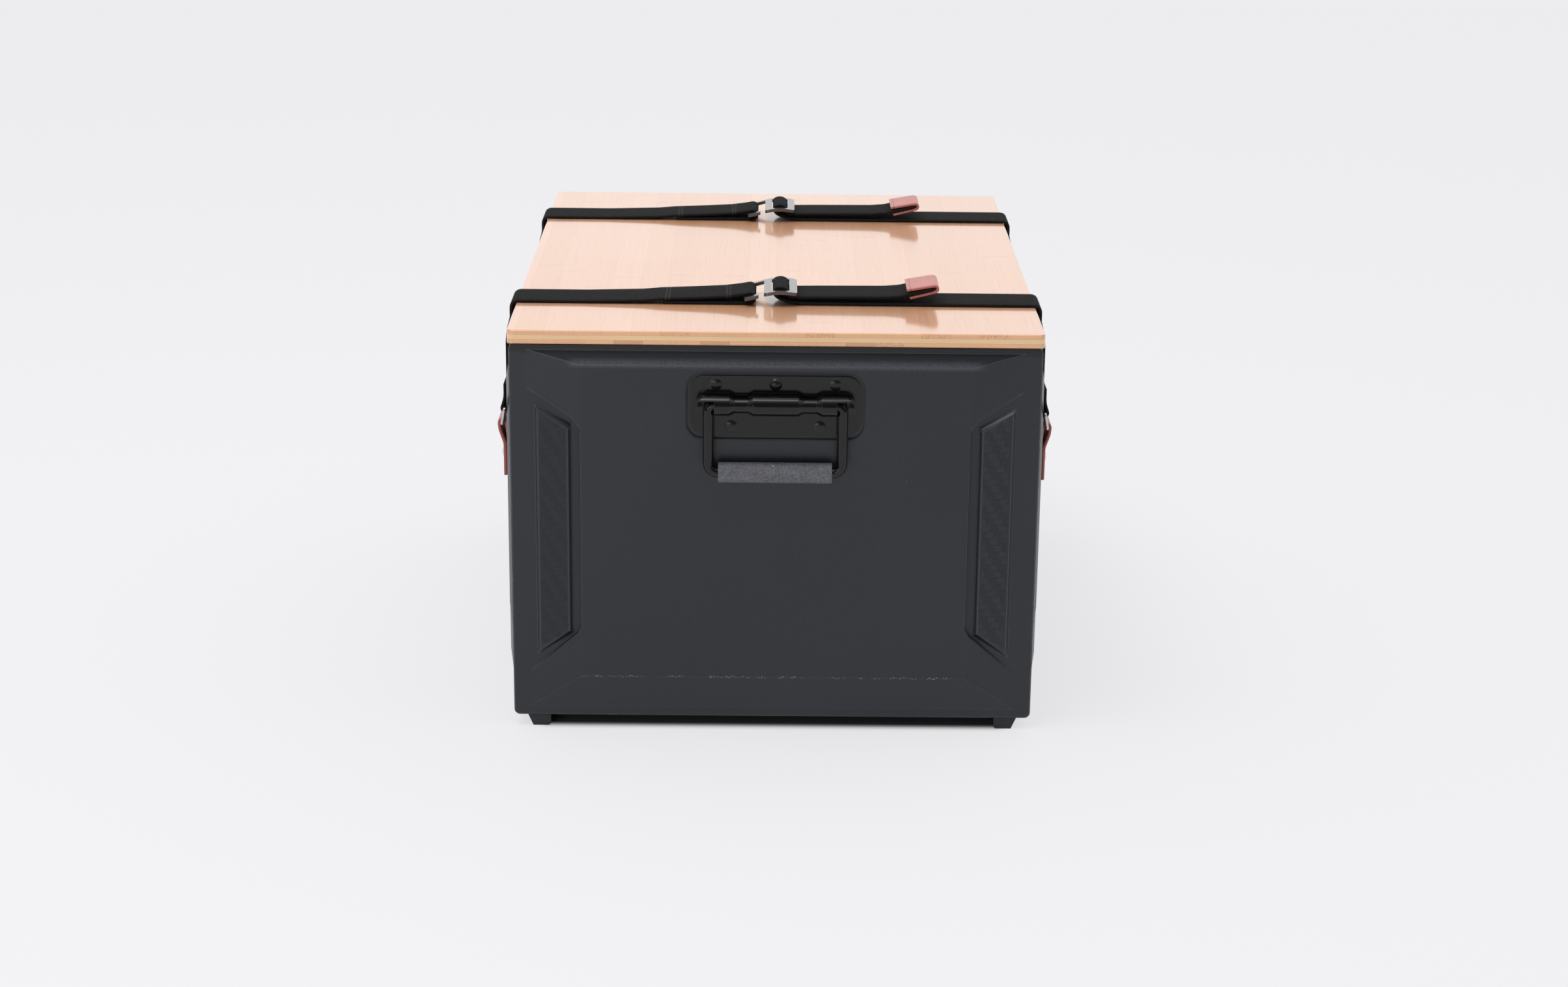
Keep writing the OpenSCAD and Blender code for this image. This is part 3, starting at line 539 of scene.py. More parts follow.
@dataclass(frozen=True)
class Bamboo(Finish):
    """Three-ply varnished bamboo board: fibres along y outside and along x inside."""

    label: str = "bamboo"
    top: float = 0.3142
    ply: float = 0.0035
    strip: float = 0.0215
    face: Colour = srgb(222, 164, 118)
    face_pale: Colour = srgb(240, 184, 148)
    outer_edge: Colour = srgb(246, 188, 142)
    core: Colour = srgb(255, 212, 156)
    core_cut: Colour = srgb(255, 216, 164)
    dark: Colour = srgb(176, 116, 74)
    stain: Colour = srgb(170, 112, 84)
    glue: Colour = srgb(186, 128, 90)
    grime: Colour = srgb(206, 146, 110)

    def fibres(self, graph: Graph, across: Signal, along: Signal, up: Signal, salt: float) -> tuple[Signal, Signal]:
        """Fibres that run along one axis and show as dots where they are cut.

        Args:
            graph: The material's graph.
            across: Place across the fibres.
            along: Place along them.
            up: Height.
            salt: Shifts the pattern.

        Returns:
            Broad fibre tone and fine dark bundles, each 0 to 1.
        """
        broad = graph.noise(graph.vector(across * 340 + salt, along * 5, up * 340), 1.0, 3, 0.65)
        fine = graph.noise(graph.vector(across * 1700 + salt, along * 16, up * 1700), 1.0, 2, 0.5)
        return broad.step(0.25, 0.75), fine.step(0.54, 0.72)

    def knuckles(self, graph: Graph, index: Signal, along: Signal, dots: Socket) -> Signal:
        """Faint dotted patches where the cane's joints cross a strip.

        Args:
            graph: The material's graph.
            index: The strip's number.
            along: Place along the strip.
            dots: Place to read the dots at.

        Returns:
            The mask, 0 to 1.
        """
        spacing = 0.25 + graph.lot(index, 14.0) * 0.1
        phase = (along / spacing + graph.lot(index, 18.0) * 5).fraction()
        patch = phase.near(0.5, 0.004, 0.016)
        return patch * graph.noise(dots, 1100, 1).step(0.50, 0.60)

    def paint(self, graph: Graph) -> None:
        """Builds the nodes.

        Args:
            graph: The material's graph.
        """
        x, y, z = graph.place()
        where = graph.vector(x, y, z)
        depth = self.top - z
        upper, under = self.ply, 2 * self.ply
        inner = depth.within(upper, under, 0.0001)
        lower = depth.step(under, under + 0.0002)
        glue = depth.near(upper, 0.00004, 0.00020).most(depth.near(under, 0.00004, 0.00020))
        cut = abs(y).step(0.2640, 0.2647)
        side_cut = abs(x).step(0.1990, 0.1997)

        # The outer plies: strips side by side, those of the lower ply a little aside.
        count = (x + lower * 0.013) / self.strip + 11
        index = count.floor() + lower * 40
        tone = graph.lot(index)
        joint = count.aside().step(0.490, 0.499)
        broad, bundles = self.fibres(graph, x, y, z, 0.0)
        edge = graph.mix(tone * 0.5 + broad * 0.3, self.outer_edge, shade(self.outer_edge, 1.14))
        face = graph.mix(tone * 0.45 + broad * 0.40, self.face, self.face_pale)
        face = graph.mix(cut, face, edge)
        face = graph.mix(bundles * 0.26, face, self.dark)
        face = graph.mix(joint * 0.14 + cut * joint * 0.2, face, self.dark)
        face = graph.mix(self.knuckles(graph, index, y, where) * (1 - cut) * 0.34, face, self.dark)
        stained = cut * graph.lot(index, 3.0).step(0.88, 0.90)
        dotted = cut * graph.lot(index, 9.0).step(0.88, 0.91) * graph.noise(where, 1500, 1).step(0.50, 0.58)
        face = graph.mix((stained * 0.36).most(dotted * 0.45), face, self.stain)

        # The middle ply lies crosswise.
        core_broad, core_bundles = self.fibres(graph, y, x, z, 40.0)
        core_strip = graph.lot((y / self.strip).floor(), 31.0)
        core = graph.mix(core_broad * 0.6 + core_strip * side_cut * 0.4, self.core, shade(self.core, 0.78))
        core = graph.mix(core_bundles * 0.26, core, self.dark)
        core = graph.mix(cut * 0.75, core, self.core_cut)

        colour = graph.mix(inner, face, core)
        colour = graph.mix(glue * 0.4, colour, self.glue)
        colour = graph.mix(graph.noise(where, 9, 3).step(0.35, 0.75) * 0.12, colour, self.grime)
        normal = graph.bump(broad, 0.00003, graph.soft_edges(0.0013), 0.4)
        normal = graph.bump(1 - bundles * 0.6, 0.00002, normal, 0.4)
        graph.surface(
            Base_Color=colour,
            Roughness=0.30 + broad * 0.08 + cut * 0.2,
            Normal=normal,
            Coat_Weight=1 - cut * 0.6,
            Coat_Roughness=0.10,
            Coat_IOR=1.75,
        )


@dataclass(frozen=True)
class BattenBamboo(Finish):
    """Plain bamboo of the battens, with fibres along x."""

    label: str = "bamboo_batten"
    colour: Colour = srgb(222, 168, 112)

    def paint(self, graph: Graph) -> None:
        """Builds the nodes.

        Args:
            graph: The material's graph.
        """
        x, y, z = graph.place()
        fibre = graph.noise(graph.vector(x * 9, y * 500, z * 500), 1.0, 3, 0.6)
        bundles = graph.noise(graph.vector(x * 30, y * 1700, z * 1700), 1.0, 2).step(0.58, 0.72)
        layer = graph.lot((z / 0.005).floor() + (y / 0.0101).floor() * 3)
        tone = graph.graded(fibre, self.colour, 0.86, 1.1)
        tone = graph.mix(bundles * 0.35, tone, srgb(160, 104, 62))
        tone = graph.mix(layer * 0.18, tone, srgb(240, 200, 150))
        graph.surface(
            Base_Color=tone,
            Roughness=0.48 + fibre * 0.1,
            Normal=graph.bump(fibre, 0.00006, graph.soft_edges(0.0006), 0.6),
        )


@dataclass(frozen=True)
class BlackLacquer(Finish):
    """Black lacquer on pressed steel, with a slight orange peel and a painted highlight that lightens its edges."""

    label: str
    colour: Colour = srgb(13, 13, 15)
    roughness: float = 0.09
    soften: float = 0.0007

    def paint(self, graph: Graph) -> None:
        """Builds the nodes.

        Args:
            graph: The material's graph.
        """
        where = graph.vector(*graph.place())
        peel = graph.noise(where, 380, 2, 0.4)
        pores = graph.noise(where, 1800, 2, 0.5)
        smear = graph.noise(where, 60, 4, 0.6)
        tone = graph.graded(smear, self.colour, 0.85, 1.2)
        # A painted highlight along the edges.
        tone = graph.mix(graph.edge_highlight_mask(0.0005, 0.02, 0.12) * 0.45, tone, srgb(96, 97, 101))
        normal = graph.bump(peel, 0.00005, graph.soft_edges(self.soften), 0.35)
        normal = graph.bump(pores, 0.00002, normal, 0.3)
        graph.surface(
            Base_Color=tone,
            Roughness=self.roughness + smear * 0.12,
            Normal=normal,
            Specular_IOR_Level=0.38,
        )


@dataclass(frozen=True)
class Vinyl(Finish):
    """Matt grey-black vinyl of the grips, with stray bright specks."""

    label: str = "grip_plastic"
    colour: Colour = srgb(98, 99, 105)

    def paint(self, graph: Graph) -> None:
        """Builds the nodes.

        Args:
            graph: The material's graph.
        """
        x, y, z = graph.place()
        where = graph.vector(x, y, z)
        grain = graph.noise(where, 520, 3, 0.8)
        drag = graph.noise(graph.vector(x * 60, y * 260, z * 260), 1.0, 3)
        speck = 1 - graph.cells(where, 170).step(0.05, 0.13)
        speck = speck * (graph.noise(where, 60, 1) + x * 2.2).step(0.56, 0.66)
        tone = graph.graded(drag * 0.5 + grain.step(0.35, 0.65) * 0.5, self.colour, 0.42, 1.6)
        tone = graph.mix(speck * 0.85, tone, srgb(215, 213, 210))
        graph.surface(
            Base_Color=tone,
            Roughness=0.5 + grain * 0.2,
            Normal=graph.bump(grain, 0.0003, graph.soft_edges(0.0008), 0.9),
        )


@dataclass(frozen=True)
class PlainMetal(Finish):
    """Bare or plated metal with fine scratches."""

    label: str
    colour: Colour = srgb(196, 196, 196)
    roughness: float = 0.28
    soften: float = 0.0004

    def paint(self, graph: Graph) -> None:
        """Builds the nodes.

        Args:
            graph: The material's graph.
        """
        x, y, z = graph.place()
        cloud = graph.noise(graph.vector(x, y, z), 140, 4, 0.6)
        drawn = graph.noise(graph.vector(x * 900, y * 120, z * 900), 1.0, 2)
        tone = graph.graded(cloud, self.colour, 0.84, 1.08)
        graph.surface(
            Base_Color=tone,
            Metallic=1.0,
            Roughness=self.roughness + cloud * 0.14,
            Normal=graph.bump(drawn, 0.00001, graph.soft_edges(self.soften), 0.4),
        )


@dataclass(frozen=True)
class SatinAlloy(Finish):
    """Dark satin coat on the hook plates, which shows pale grey at a flat angle."""

    label: str = "hook_alloy"
    colour: Colour = srgb(46, 46, 50)

    def paint(self, graph: Graph) -> None:
        """Builds the nodes.

        Args:
            graph: The material's graph.
        """
        where = graph.vector(*graph.place())
        blast = graph.noise(where, 1700, 3, 0.6)
        cloud = graph.noise(where, 120, 4, 0.6)
        rub = cloud.step(0.56, 0.74)
        tone = graph.graded(cloud, self.colour, 0.85, 1.15)
        tone = graph.mix(rub * 0.2, tone, srgb(110, 110, 114))
        graph.surface(
            Base_Color=tone,
            Roughness=0.34 + blast * 0.1,
            Normal=graph.bump(blast, 0.00003, graph.soft_edges(0.0004), 0.5),
            Specular_IOR_Level=0.8,
            Coat_Weight=1.0,
            Coat_Roughness=0.2,
            Coat_IOR=1.8,
        )


@dataclass(frozen=True)
class Webbing(Finish):
    """Black knitted webbing: staggered chains along its length and a plain doubled edge."""

    label: str = "webbing"
    colour: Colour = srgb(40, 39, 41)
    # Painted shade in the knit's hollows.
    hollow_shade: Colour = srgb(4, 4, 5)
    pitch: float = 0.00185
    chain: float = 0.0042
    half_width: float = 0.0190
    twist: float = 0.0013
    thread: float = 0.0032
    lint: Colour = srgb(104, 101, 102)
    seams: tuple[float, ...] = ()

    def stitches(self, along: Signal, across: Signal) -> Signal:
        """Rows of thread sewn across the webbing.

        Args:
            along: Place along the webbing.
            across: Place across it.

        Returns:
            The mask, 0 to 1.
        """
        first, *others = (along.near(place, 0.0004, 0.0009) for place in self.seams)
        for other in others:
            first = first.most(other)
        return first * (across / self.thread).aside().step(0.05, 0.12)

    def paint(self, graph: Graph) -> None:
        """Builds the nodes.

        Args:
            graph: The material's graph.
        """
        along, across = graph.laid()
        where = graph.vector(along, across)
        lane = across / self.chain
        inside = lane.aside()
        half = (lane.floor() * 0.5).fraction().step(0.2, 0.3) * 0.5
        sway = graph.noise(where, 250, 1) * 0.4
        stitch = ((along / self.pitch + inside * 1.1 + half + sway) * math.tau).sine() * 0.5 + 0.5
        knit = stitch.step(0.15, 0.85) * (1 - inside.step(0.34, 0.49) * 0.85)
        edge = (abs(across) - self.half_width).step(-0.0019, -0.0015)
        rope = ((along + across * 0.7) * (math.tau / self.twist)).sine() * 0.5 + 0.5
        knit = knit * (1 - edge) + edge * (rope * 0.6 + 0.3)
        fluff = graph.noise(where, 1000, 4, 0.7)
        fade = graph.noise(graph.vector(along * 25, across * 90), 1.0, 3)
        lint = (1 - graph.cells(where, 70).step(0.006, 0.018)) * graph.noise(where, 30, 1).step(0.55, 0.62)
        # Painted shade in the hollows between the stitches.
        tone = graph.mix(knit.step(0.10, 0.62), self.hollow_shade, self.colour)
        tone = graph.mix(fade * 0.12, tone, shade(self.colour, 1.3))
        tone = graph.mix((fluff.step(0.60, 0.75) * 0.35).most(lint * 0.5), tone, self.lint)
        if self.seams:
            sewn = self.stitches(along, across)
            tone = graph.mix(sewn * 0.35, tone, srgb(80, 78, 80))
            knit = knit * (1 - sewn) + sewn * 1.3
        graph.surface(
            Base_Color=tone,
            Roughness=0.75 + fluff * 0.15,
            Normal=graph.bump(knit, 0.0006),
            Specular_IOR_Level=0.12,
        )


@dataclass(frozen=True)
class Leather(Finish):
    """Red-brown leather: pebbled grain, darker creases and a waxy shine."""

    label: str
    colour: Colour = srgb(150, 72, 64)
    crease: Colour = srgb(92, 38, 34)
    groove: float = 0.0

    def paint(self, graph: Graph) -> None:
        """Builds the nodes.

        Args:
            graph: The material's graph.
        """
        where = graph.vector(*graph.place())
        pebble = graph.cells(where, 900)
        pores = graph.noise(where, 2600, 2, 0.5)
        folds = graph.noise(where, 240, 4, 0.7)
        cloud = graph.noise(where, 45, 3)
        tone = graph.graded(cloud, self.colour, 0.86, 1.16)
        tone = graph.mix(folds.step(0.56, 0.74) * 0.35, tone, self.crease)
        tone = graph.mix(pebble.step(0.35, 0.7) * 0.3, tone, self.crease)
        normal = graph.bump(1 - pebble, 0.00012, None, 0.7)
        if self.groove:
            line = graph.laid()[0].near(self.groove, 0.0001, 0.0004)
            tone = graph.mix(line * 0.75, tone, shade(self.crease, 0.6))
            normal = graph.bump(1 - line, 0.0004, normal, 0.8)
        normal = graph.bump(pores, 0.00004, normal, 0.5)
        graph.surface(
            Base_Color=tone,
            Roughness=0.42 + pores * 0.16,
            Normal=normal,
            Specular_IOR_Level=0.5,
            Coat_Weight=0.35,
            Coat_Roughness=0.3,
        )


@dataclass(frozen=True)
class RawEdge(Finish):
    """Pale fibrous cut edge of leather."""

    label: str = "leather_edge"
    colour: Colour = srgb(214, 140, 112)

    def paint(self, graph: Graph) -> None:
        """Builds the nodes.

        Args:
            graph: The material's graph.
        """
        where = graph.vector(*graph.place())
        fibre = graph.noise(where, 1400, 4, 0.7)
        cloud = graph.noise(where, 180, 2)
        tone = graph.graded(fibre, self.colour, 0.72, 1.12)
        tone = graph.mix(cloud * 0.3, tone, srgb(150, 84, 66))
        graph.surface(Base_Color=tone, Roughness=0.75 + fibre * 0.1, Normal=graph.bump(fibre, 0.00012, None, 0.8))


# Modelling helpers


def clear_selection() -> None:
    """Leaves edit mode and deselects every object."""
    if bpy.context.object and bpy.context.object.mode != "OBJECT":
        bpy.ops.object.mode_set(mode="OBJECT")
    bpy.ops.object.select_all(action="DESELECT")


def pick(piece: Piece, test: Callable[[Vector], bool], kind: str = "VERT") -> int:
    """Selects parts of the piece in edit mode by place.

    Args:
        piece: The piece in edit mode.
        test: True for each place to select.
        kind: VERT, EDGE or FACE; edges and faces are tested at all their corners.

    Returns:
        How many were selected.
    """
    bpy.ops.mesh.select_mode(type=kind)
    bpy.ops.mesh.select_all(action="DESELECT")
    mesh = bmesh.from_edit_mesh(piece.data)
    count = 0
    parts = {"VERT": mesh.verts, "EDGE": mesh.edges, "FACE": mesh.faces}[kind]
    for part in parts:
        corners = [part] if kind == "VERT" else part.verts
        if all(test(corner.co) for corner in corners):
            part.select_set(True)
            count += 1
    mesh.select_flush_mode()
    bmesh.update_edit_mesh(piece.data)
    return count


def apply_modifiers(piece: Piece) -> None:
    """Applies every modifier of the piece in order.

    Args:
        piece: The piece.
    """
    clear_selection()
    piece.select_set(True)
    bpy.context.view_layer.objects.active = piece
    for modifier in list(piece.modifiers):
        bpy.ops.object.modifier_apply(modifier=modifier.name)


def smooth_by_angle(piece: Piece, degrees: float = 40.0) -> None:
    """Shades the piece smooth except at sharper edges.

    Args:
        piece: The piece.
        degrees: The turn past which an edge stays sharp.
    """
    clear_selection()
    piece.select_set(True)
    bpy.context.view_layer.objects.active = piece
    bpy.ops.object.shade_smooth_by_angle(angle=math.radians(degrees))


def arc(centre: Flat, radius: float, start: float, stop: float, count: int = 8) -> list[Flat]:
    """Points of an arc in (x, z).

    Args:
        centre: Its centre.
        radius: Its radius.
        start: First angle in degrees.
        stop: Last angle in degrees.
        count: Steps.

    Returns:
        The points.
    """
    angles = [math.radians(start + (stop - start) * step / count) for step in range(count + 1)]
    return [(centre[0] + radius * math.cos(a), centre[1] + radius * math.sin(a)) for a in angles]


@dataclass
class Route:
    """A centre line in (x, z), in millimetres."""

    points: Sequence[Flat]

    def length(self) -> float:
        """The line's length in millimetres."""
        return sum(math.dist(a, b) for a, b in zip(self.points, self.points[1:]))

    def even(self, step: float, ease: int) -> list[Flat]:
        """Spreads points evenly along the line and rounds its corners.

        Args:
            step: Spacing in millimetres.
            ease: How often each point moves halfway to its neighbours' middle.

        Returns:
            The new points.
        """
        lengths = [0.0]
        for a, b in zip(self.points, self.points[1:]):
            lengths.append(lengths[-1] + math.dist(a, b))
        count = max(2, round(lengths[-1] / step))
        spread: list[Flat] = []
        index = 0
        for k in range(count + 1):
            target = lengths[-1] * k / count
            while index < len(lengths) - 2 and lengths[index + 1] < target:
                index += 1
            span = lengths[index + 1] - lengths[index] or 1.0
            share = (target - lengths[index]) / span
            a, b = self.points[index], self.points[index + 1]
            spread.append((a[0] + (b[0] - a[0]) * share, a[1] + (b[1] - a[1]) * share))
        for _ in range(ease):
            inner = [
                ((p[0] + 2 * q[0] + r[0]) / 4, (p[1] + 2 * q[1] + r[1]) / 4)
                for p, q, r in zip(spread, spread[1:], spread[2:])
            ]
            spread = [spread[0], *inner, spread[-1]]
        return spread


@dataclass
class Band:
    """A flat band of cloth or leather that follows a route and keeps its width along y."""

    name: str
    route: Route
    width: float
    thickness: float
    middle_y: float
    leftward: bool = False
    step: float = 1.1
    ease: int = 2
    lanes: int = 6
    scallop: float = 0.0
    rim_slot: int = 0

    def points(self) -> list[Vector]:
        """The centre line in metres."""
        side = -1.0 if self.leftward else 1.0
        return [Vector((side * x * MM, self.middle_y * MM, z * MM)) for x, z in self.route.even(self.step, self.ease)]

    def sheet(self) -> Piece:
        """Draws the band's middle surface: a grid whose leading edge is extruded along the route.

        Returns:
            The open sheet, with its UV map.
        """
        points = self.points()
        clear_selection()
        bpy.ops.mesh.primitive_grid_add(x_subdivisions=1, y_subdivisions=self.lanes, size=1.0, location=(0, 0, 0))
        piece = bpy.context.object
        piece.name = self.name
        bpy.ops.object.mode_set(mode="EDIT")
        bpy.ops.mesh.select_all(action="SELECT")
        bpy.ops.transform.resize(value=(1.0, self.width * MM, 1.0), center_override=(0, 0, 0))
        for side, point in ((0.5, points[1]), (-0.5, points[0])):
            pick(piece, lambda place, side=side: abs(place.x - side) < 1e-4)
            bpy.ops.transform.translate(value=point - Vector((side, 0, 0)))
        pick(piece, lambda place: (place - points[1]).xz.length < 1e-6, "EDGE")
        for a, b in zip(points[1:], points[2:]):
            bpy.ops.mesh.extrude_region_move(TRANSFORM_OT_translate={"value": b - a})
        bpy.ops.object.mode_set(mode="OBJECT")
        self.lay(piece, points)
        return piece

    def rows(self, piece: Piece, points: list[Vector]) -> list[int]:
        """Finds the point of the route that each vertex of the sheet sits at.

        Args:
            piece: The sheet.
            points: The route's points in metres.

        Returns:
            The point's number for each vertex.
        """
        row_size = self.lanes + 1
        found = []
        for vertex in piece.data.vertices:
            if vertex.index < 2 * row_size:
                near, far = ((vertex.co - point).xz.length for point in points[:2])
                found.append(0 if near < far else 1)
            else:
                found.append(2 + (vertex.index - 2 * row_size) // row_size)
        return found

    def lay(self, piece: Piece, points: list[Vector]) -> None:
        """Gives the sheet its UV map in metres along and across, and its scalloped edges.

        Args:
            piece: The sheet.
            points: The route's points in metres.
        """
        lengths = [0.0]
        for a, b in zip(points, points[1:]):
            lengths.append(lengths[-1] + (b - a).length)
        rows = self.rows(piece, points)
        layer = piece.data.uv_layers.active or piece.data.uv_layers.new()
        layer.name = "laid"
        for loop in piece.data.loops:
            vertex = piece.data.vertices[loop.vertex_index]
            layer.data[loop.index].uv = (lengths[rows[loop.vertex_index]], vertex.co.y - self.middle_y * MM)
        if self.scallop:
            half = self.width * MM / 2
            for vertex in piece.data.vertices:
                off = vertex.co.y - self.middle_y * MM
                if abs(abs(off) - half) < 1e-5 and rows[vertex.index] % 2:
                    vertex.co.y -= math.copysign(self.scallop * MM, off)

    def build(self) -> Piece:
        """Makes the finished band.

        Returns:
            The piece, closed and smooth, at the origin.
        """
        piece = self.sheet()
        wall = piece.modifiers.new("thickness", "SOLIDIFY")
        wall.thickness = self.thickness * MM
        wall.offset = 0.0
        wall.use_even_offset = True
        wall.material_offset_rim = self.rim_slot
        edge = piece.modifiers.new("edges", "BEVEL")
        edge.width = self.thickness * MM * 0.3
        edge.segments = 2
        edge.limit_method = "ANGLE"
        edge.angle_limit = math.radians(55)
        apply_modifiers(piece)
        smooth_by_angle(piece, 50)
        return piece


# Sub-assemblies


class End(Enum):
    """An end of the box."""

    FRONT = -1
    REAR = 1


class Side(Enum):
    """A side of the box."""

    LEFT = -1
    RIGHT = 1


@dataclass
class LidStrap:
    """One webbing strap over the lid, with its hook, loose end and side drops. Sizes in millimetres."""

    end: End
    strap_y: float = 159.5
    web_w: float = 38.0
    web_t: float = 2.2
    lay_gap: float = 0.3
    lid_w: float = 400.0
    lid_t: float = 10.5
    lid_top: float = 314.2
    edge_slack: float = 2.6
    edge_r: float = 4.6
    hook_z: float = 11.0
    hook_right: float = 16.0
    bar_mid: float = 3.25
    loop_end_x: float = -15.3
    loop_r: float = 4.0
    sewn_loop_l: float = 72.0
    seam_x: float = 14.6
    hinge_x: float = 20.0
    tail_z: float = 6.2
    tail_l: float = 105.0
    hinge_reach: float = 4.0
    tip_l: float = 23.0
    tip_w: float = 37.0
    tip_t: float = 2.0
    tip_groove: float = 3.5
    seams: tuple[float, ...] = (129.0, 131.5, 176.0, 178.5)
    drop_x: float = 207.5
    drop_bend_x: float = 204.5
    drop_bend_top: float = 303.5
    ring_top_x: float = 210.05
    ring_top_z: float = 230.0
    ring_turn: float = 2.65
    finish: Webbing = Webbing()

    @property
    def prefix(self) -> str:
        """The start of this strap's piece names."""
        return self.end.name.lower()

    @property
    def web_mid(self) -> float:
        """Height of the lowest layer's middle over the lid."""
        return self.web_t / 2 + self.lay_gap

    def over_lid(self, points: Iterable[Flat]) -> Route:
        """A route drawn from the lid's top face, in real heights."""
        return Route([(x, z + self.lid_top) for x, z in points])

    @property
    def edge_x(self) -> float:
        """The webbing's middle where it hangs past the lid's edge."""
        return self.lid_w / 2 + self.lay_gap + self.web_t / 2 + self.edge_slack

    def edge_route(self) -> list[Flat]:
        """Up the lid's edge and onto its top, on the right."""
        x, r = self.edge_x, self.edge_r
        return [(x, -self.lid_t - 0.1)] + arc((x - r, self.web_mid - r), r, 0, 90, 6)

    def left_route(self) -> list[Flat]:
        """Over the left of the lid, round the hook's cross bar and back underneath.

        Returns:
            The points, with heights over the lid's top face.
        """
        e, m, t = self.loop_end_x, self.web_mid, self.web_t
        back = e - self.sewn_loop_l
        return (
            [(-x, z) for x, z in self.edge_route()]
            + [(back - 60, m), (back - 16, m + 1.2), (back - 2, m + t + self.lay_gap)]
            + [(e - 46, m + t + 1.5), (e - 24, m + t + 2.7), (e - 11, m + t + 4.4)]
            + arc((e - t / 2 - self.loop_r, m + self.loop_r), self.loop_r, 80, -80, 8)
            + [(e - 14, m), (back, m)]
        )

    def right_route(self) -> list[Flat]:
        """Over the right of the lid, up through the hook, over its middle bar and down under its right bar.

        Returns:
            The points, with heights over the lid's top face.
        """
        c, m, z = self.bar_mid, self.web_mid, self.hook_z
        r, tail = self.hook_right, self.tail_z
        turns = (math.radians(degrees) for degrees in range(170, 0, -20))
        return (
            self.edge_route()
            + [(r + 8, m), (r + 1, m + 0.6), (c + 5, m + 1.9), (c - 1.5, m + 4.2), (c - 4.4, m + 6.6)]
            + [(c - 5.2, z - 0.8)]
            + [(c + 5.2 * math.cos(turn), z - 0.1 + 3 * math.sin(turn)) for turn in turns]
            + [(c + 5.3, z - 2), (c + 5.8, z - 3.4), (c + 7.6, tail + 0.35), (c + 10.5, tail), (self.seam_x, tail)]
        )

    def tail_route(self) -> list[Flat]:
        """The loose end, from under the hook to its tip.

        Returns:
            The points, with heights over the lid's top face.
        """
        x, z, run = self.hinge_x, self.tail_z, self.tail_l
        return [
            (self.seam_x + 0.5, z),
            (x + 14, z + 0.3),
            (x + run * 0.38, z + 0.5),
            (x + run * 0.61, z + 0.7),
            (x + run * 0.72, z + 1.6),
            (x + run - self.tip_l + 1, z + 3.4),
            (x + run - 4.5, z + 7.4),
        ]

    def tip_route(self) -> list[Flat]:
        """The leather tab folded round the loose end.

        Returns:
            The points, with heights over the lid's top face.
        """
        p, q = (Vector(point) for point in self.tail_route()[5:7])
        d = (q - p).normalized()
        n = Vector((-d.y, d.x))
        o = self.web_t / 2 + self.lay_gap + 1.1
        turns = (math.radians(degrees) for degrees in range(-75, 76, 25))
        points = [p - d - n * (o + 0.4), q - n * o]
        points += [q + d * (1.4 + o * math.cos(turn)) + n * (o * math.sin(turn)) for turn in turns]
        points += [q + n * o, (p + q) / 2 + n * (o + 0.4), p - d * 2 + n * (o + 1)]
        return [(point.x, point.y) for point in points]

    def drop_route(self) -> list[Flat]:
        """Down the box's side, round the ring and back up to the seam.

        Returns:
            The points, in real heights.
        """
        top, low = self.lid_top - self.lid_t - 0.2, self.ring_top_z
        near, far = self.edge_x, self.drop_x
        doubled = far + self.web_t + self.lay_gap * 0.6
        return (
            [(near, top), (near + 0.5, 300.6), (near + 2.4, 294), (far, 284), (far, low)]
            + arc((self.ring_top_x, low), self.ring_turn, 180, 400, 10)
            + [(doubled + 0.3, low + 8), (doubled, low + 12), (doubled, low + 20)]
        )

    def band(self, name: str, route: Route, leftward: bool = False, finish: Webbing | None = None) -> Piece:
        """One run of webbing in its finish.

        Args:
            name: The piece's name.
            route: Its centre line.
            leftward: True where it is mirrored to the left.
            finish: Its finish, where that isn't the strap's own.

        Returns:
            The piece, with its slot.
        """
        piece = Band(
            name, route, self.web_w, self.web_t, self.end.value * self.strap_y, leftward, scallop=0.16
        ).build()
        (finish or self.finish).dress(piece)
        return piece

    def build(self) -> list[Piece]:
        """Builds the strap's soft pieces.

        Returns:
            The pieces; the two halves and the tip each on a body, the loose end and the drops on none.
        """
        pre = self.prefix
        sewn = Webbing("webbing_sewn", seams=tuple(place * MM for place in self.seams))
        left = self.band(f"{pre}_strap_left_webbing", self.over_lid(self.left_route()), finish=sewn)
        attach(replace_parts(left, f"{pre}_strap_left_half"), "lid")
        right = self.band(f"{pre}_strap_right_webbing", self.over_lid(self.right_route()))
        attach(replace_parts(right, f"{pre}_strap_right_half"), "lid")
        tail = self.band(f"{pre}_strap_loose_end", self.over_lid(self.tail_route()))
        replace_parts(tail, f"{pre}_strap_tail")
        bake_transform(tail)
        folded = self.over_lid(self.tip_route())
        tip = Band(
            f"{pre}_strap_leather_tip",
            folded,
            self.tip_w,
            self.tip_t,
            self.end.value * self.strap_y,
            step=0.8,
            lanes=8,
            rim_slot=1,
        ).build()
        groove = (folded.length() - self.tip_groove) * MM
        Leather("tip_leather", srgb(200, 122, 114), srgb(150, 78, 72), groove).dress(tip, RawEdge())
        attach(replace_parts(tip, f"{pre}_strap_tip"), f"{pre}_strap_end")
        drops = [self.build_drop(side) for side in Side]
        return [left, right, tail, tip, *drops]

    def build_drop(self, side: Side) -> Piece:
        """Builds the run of webbing down one side of the box.

        Args:
            side: Which side.

        Returns:
            The piece, shaped from under the lid's edge down round the ring and back up.
        """
        word = side.name.lower()
        drop = self.band(f"{self.prefix}_strap_{word}_fall", Route(self.drop_route()), side is Side.LEFT)
        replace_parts(drop, f"{self.prefix}_strap_{word}_drop")
        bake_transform(drop)
        return drop


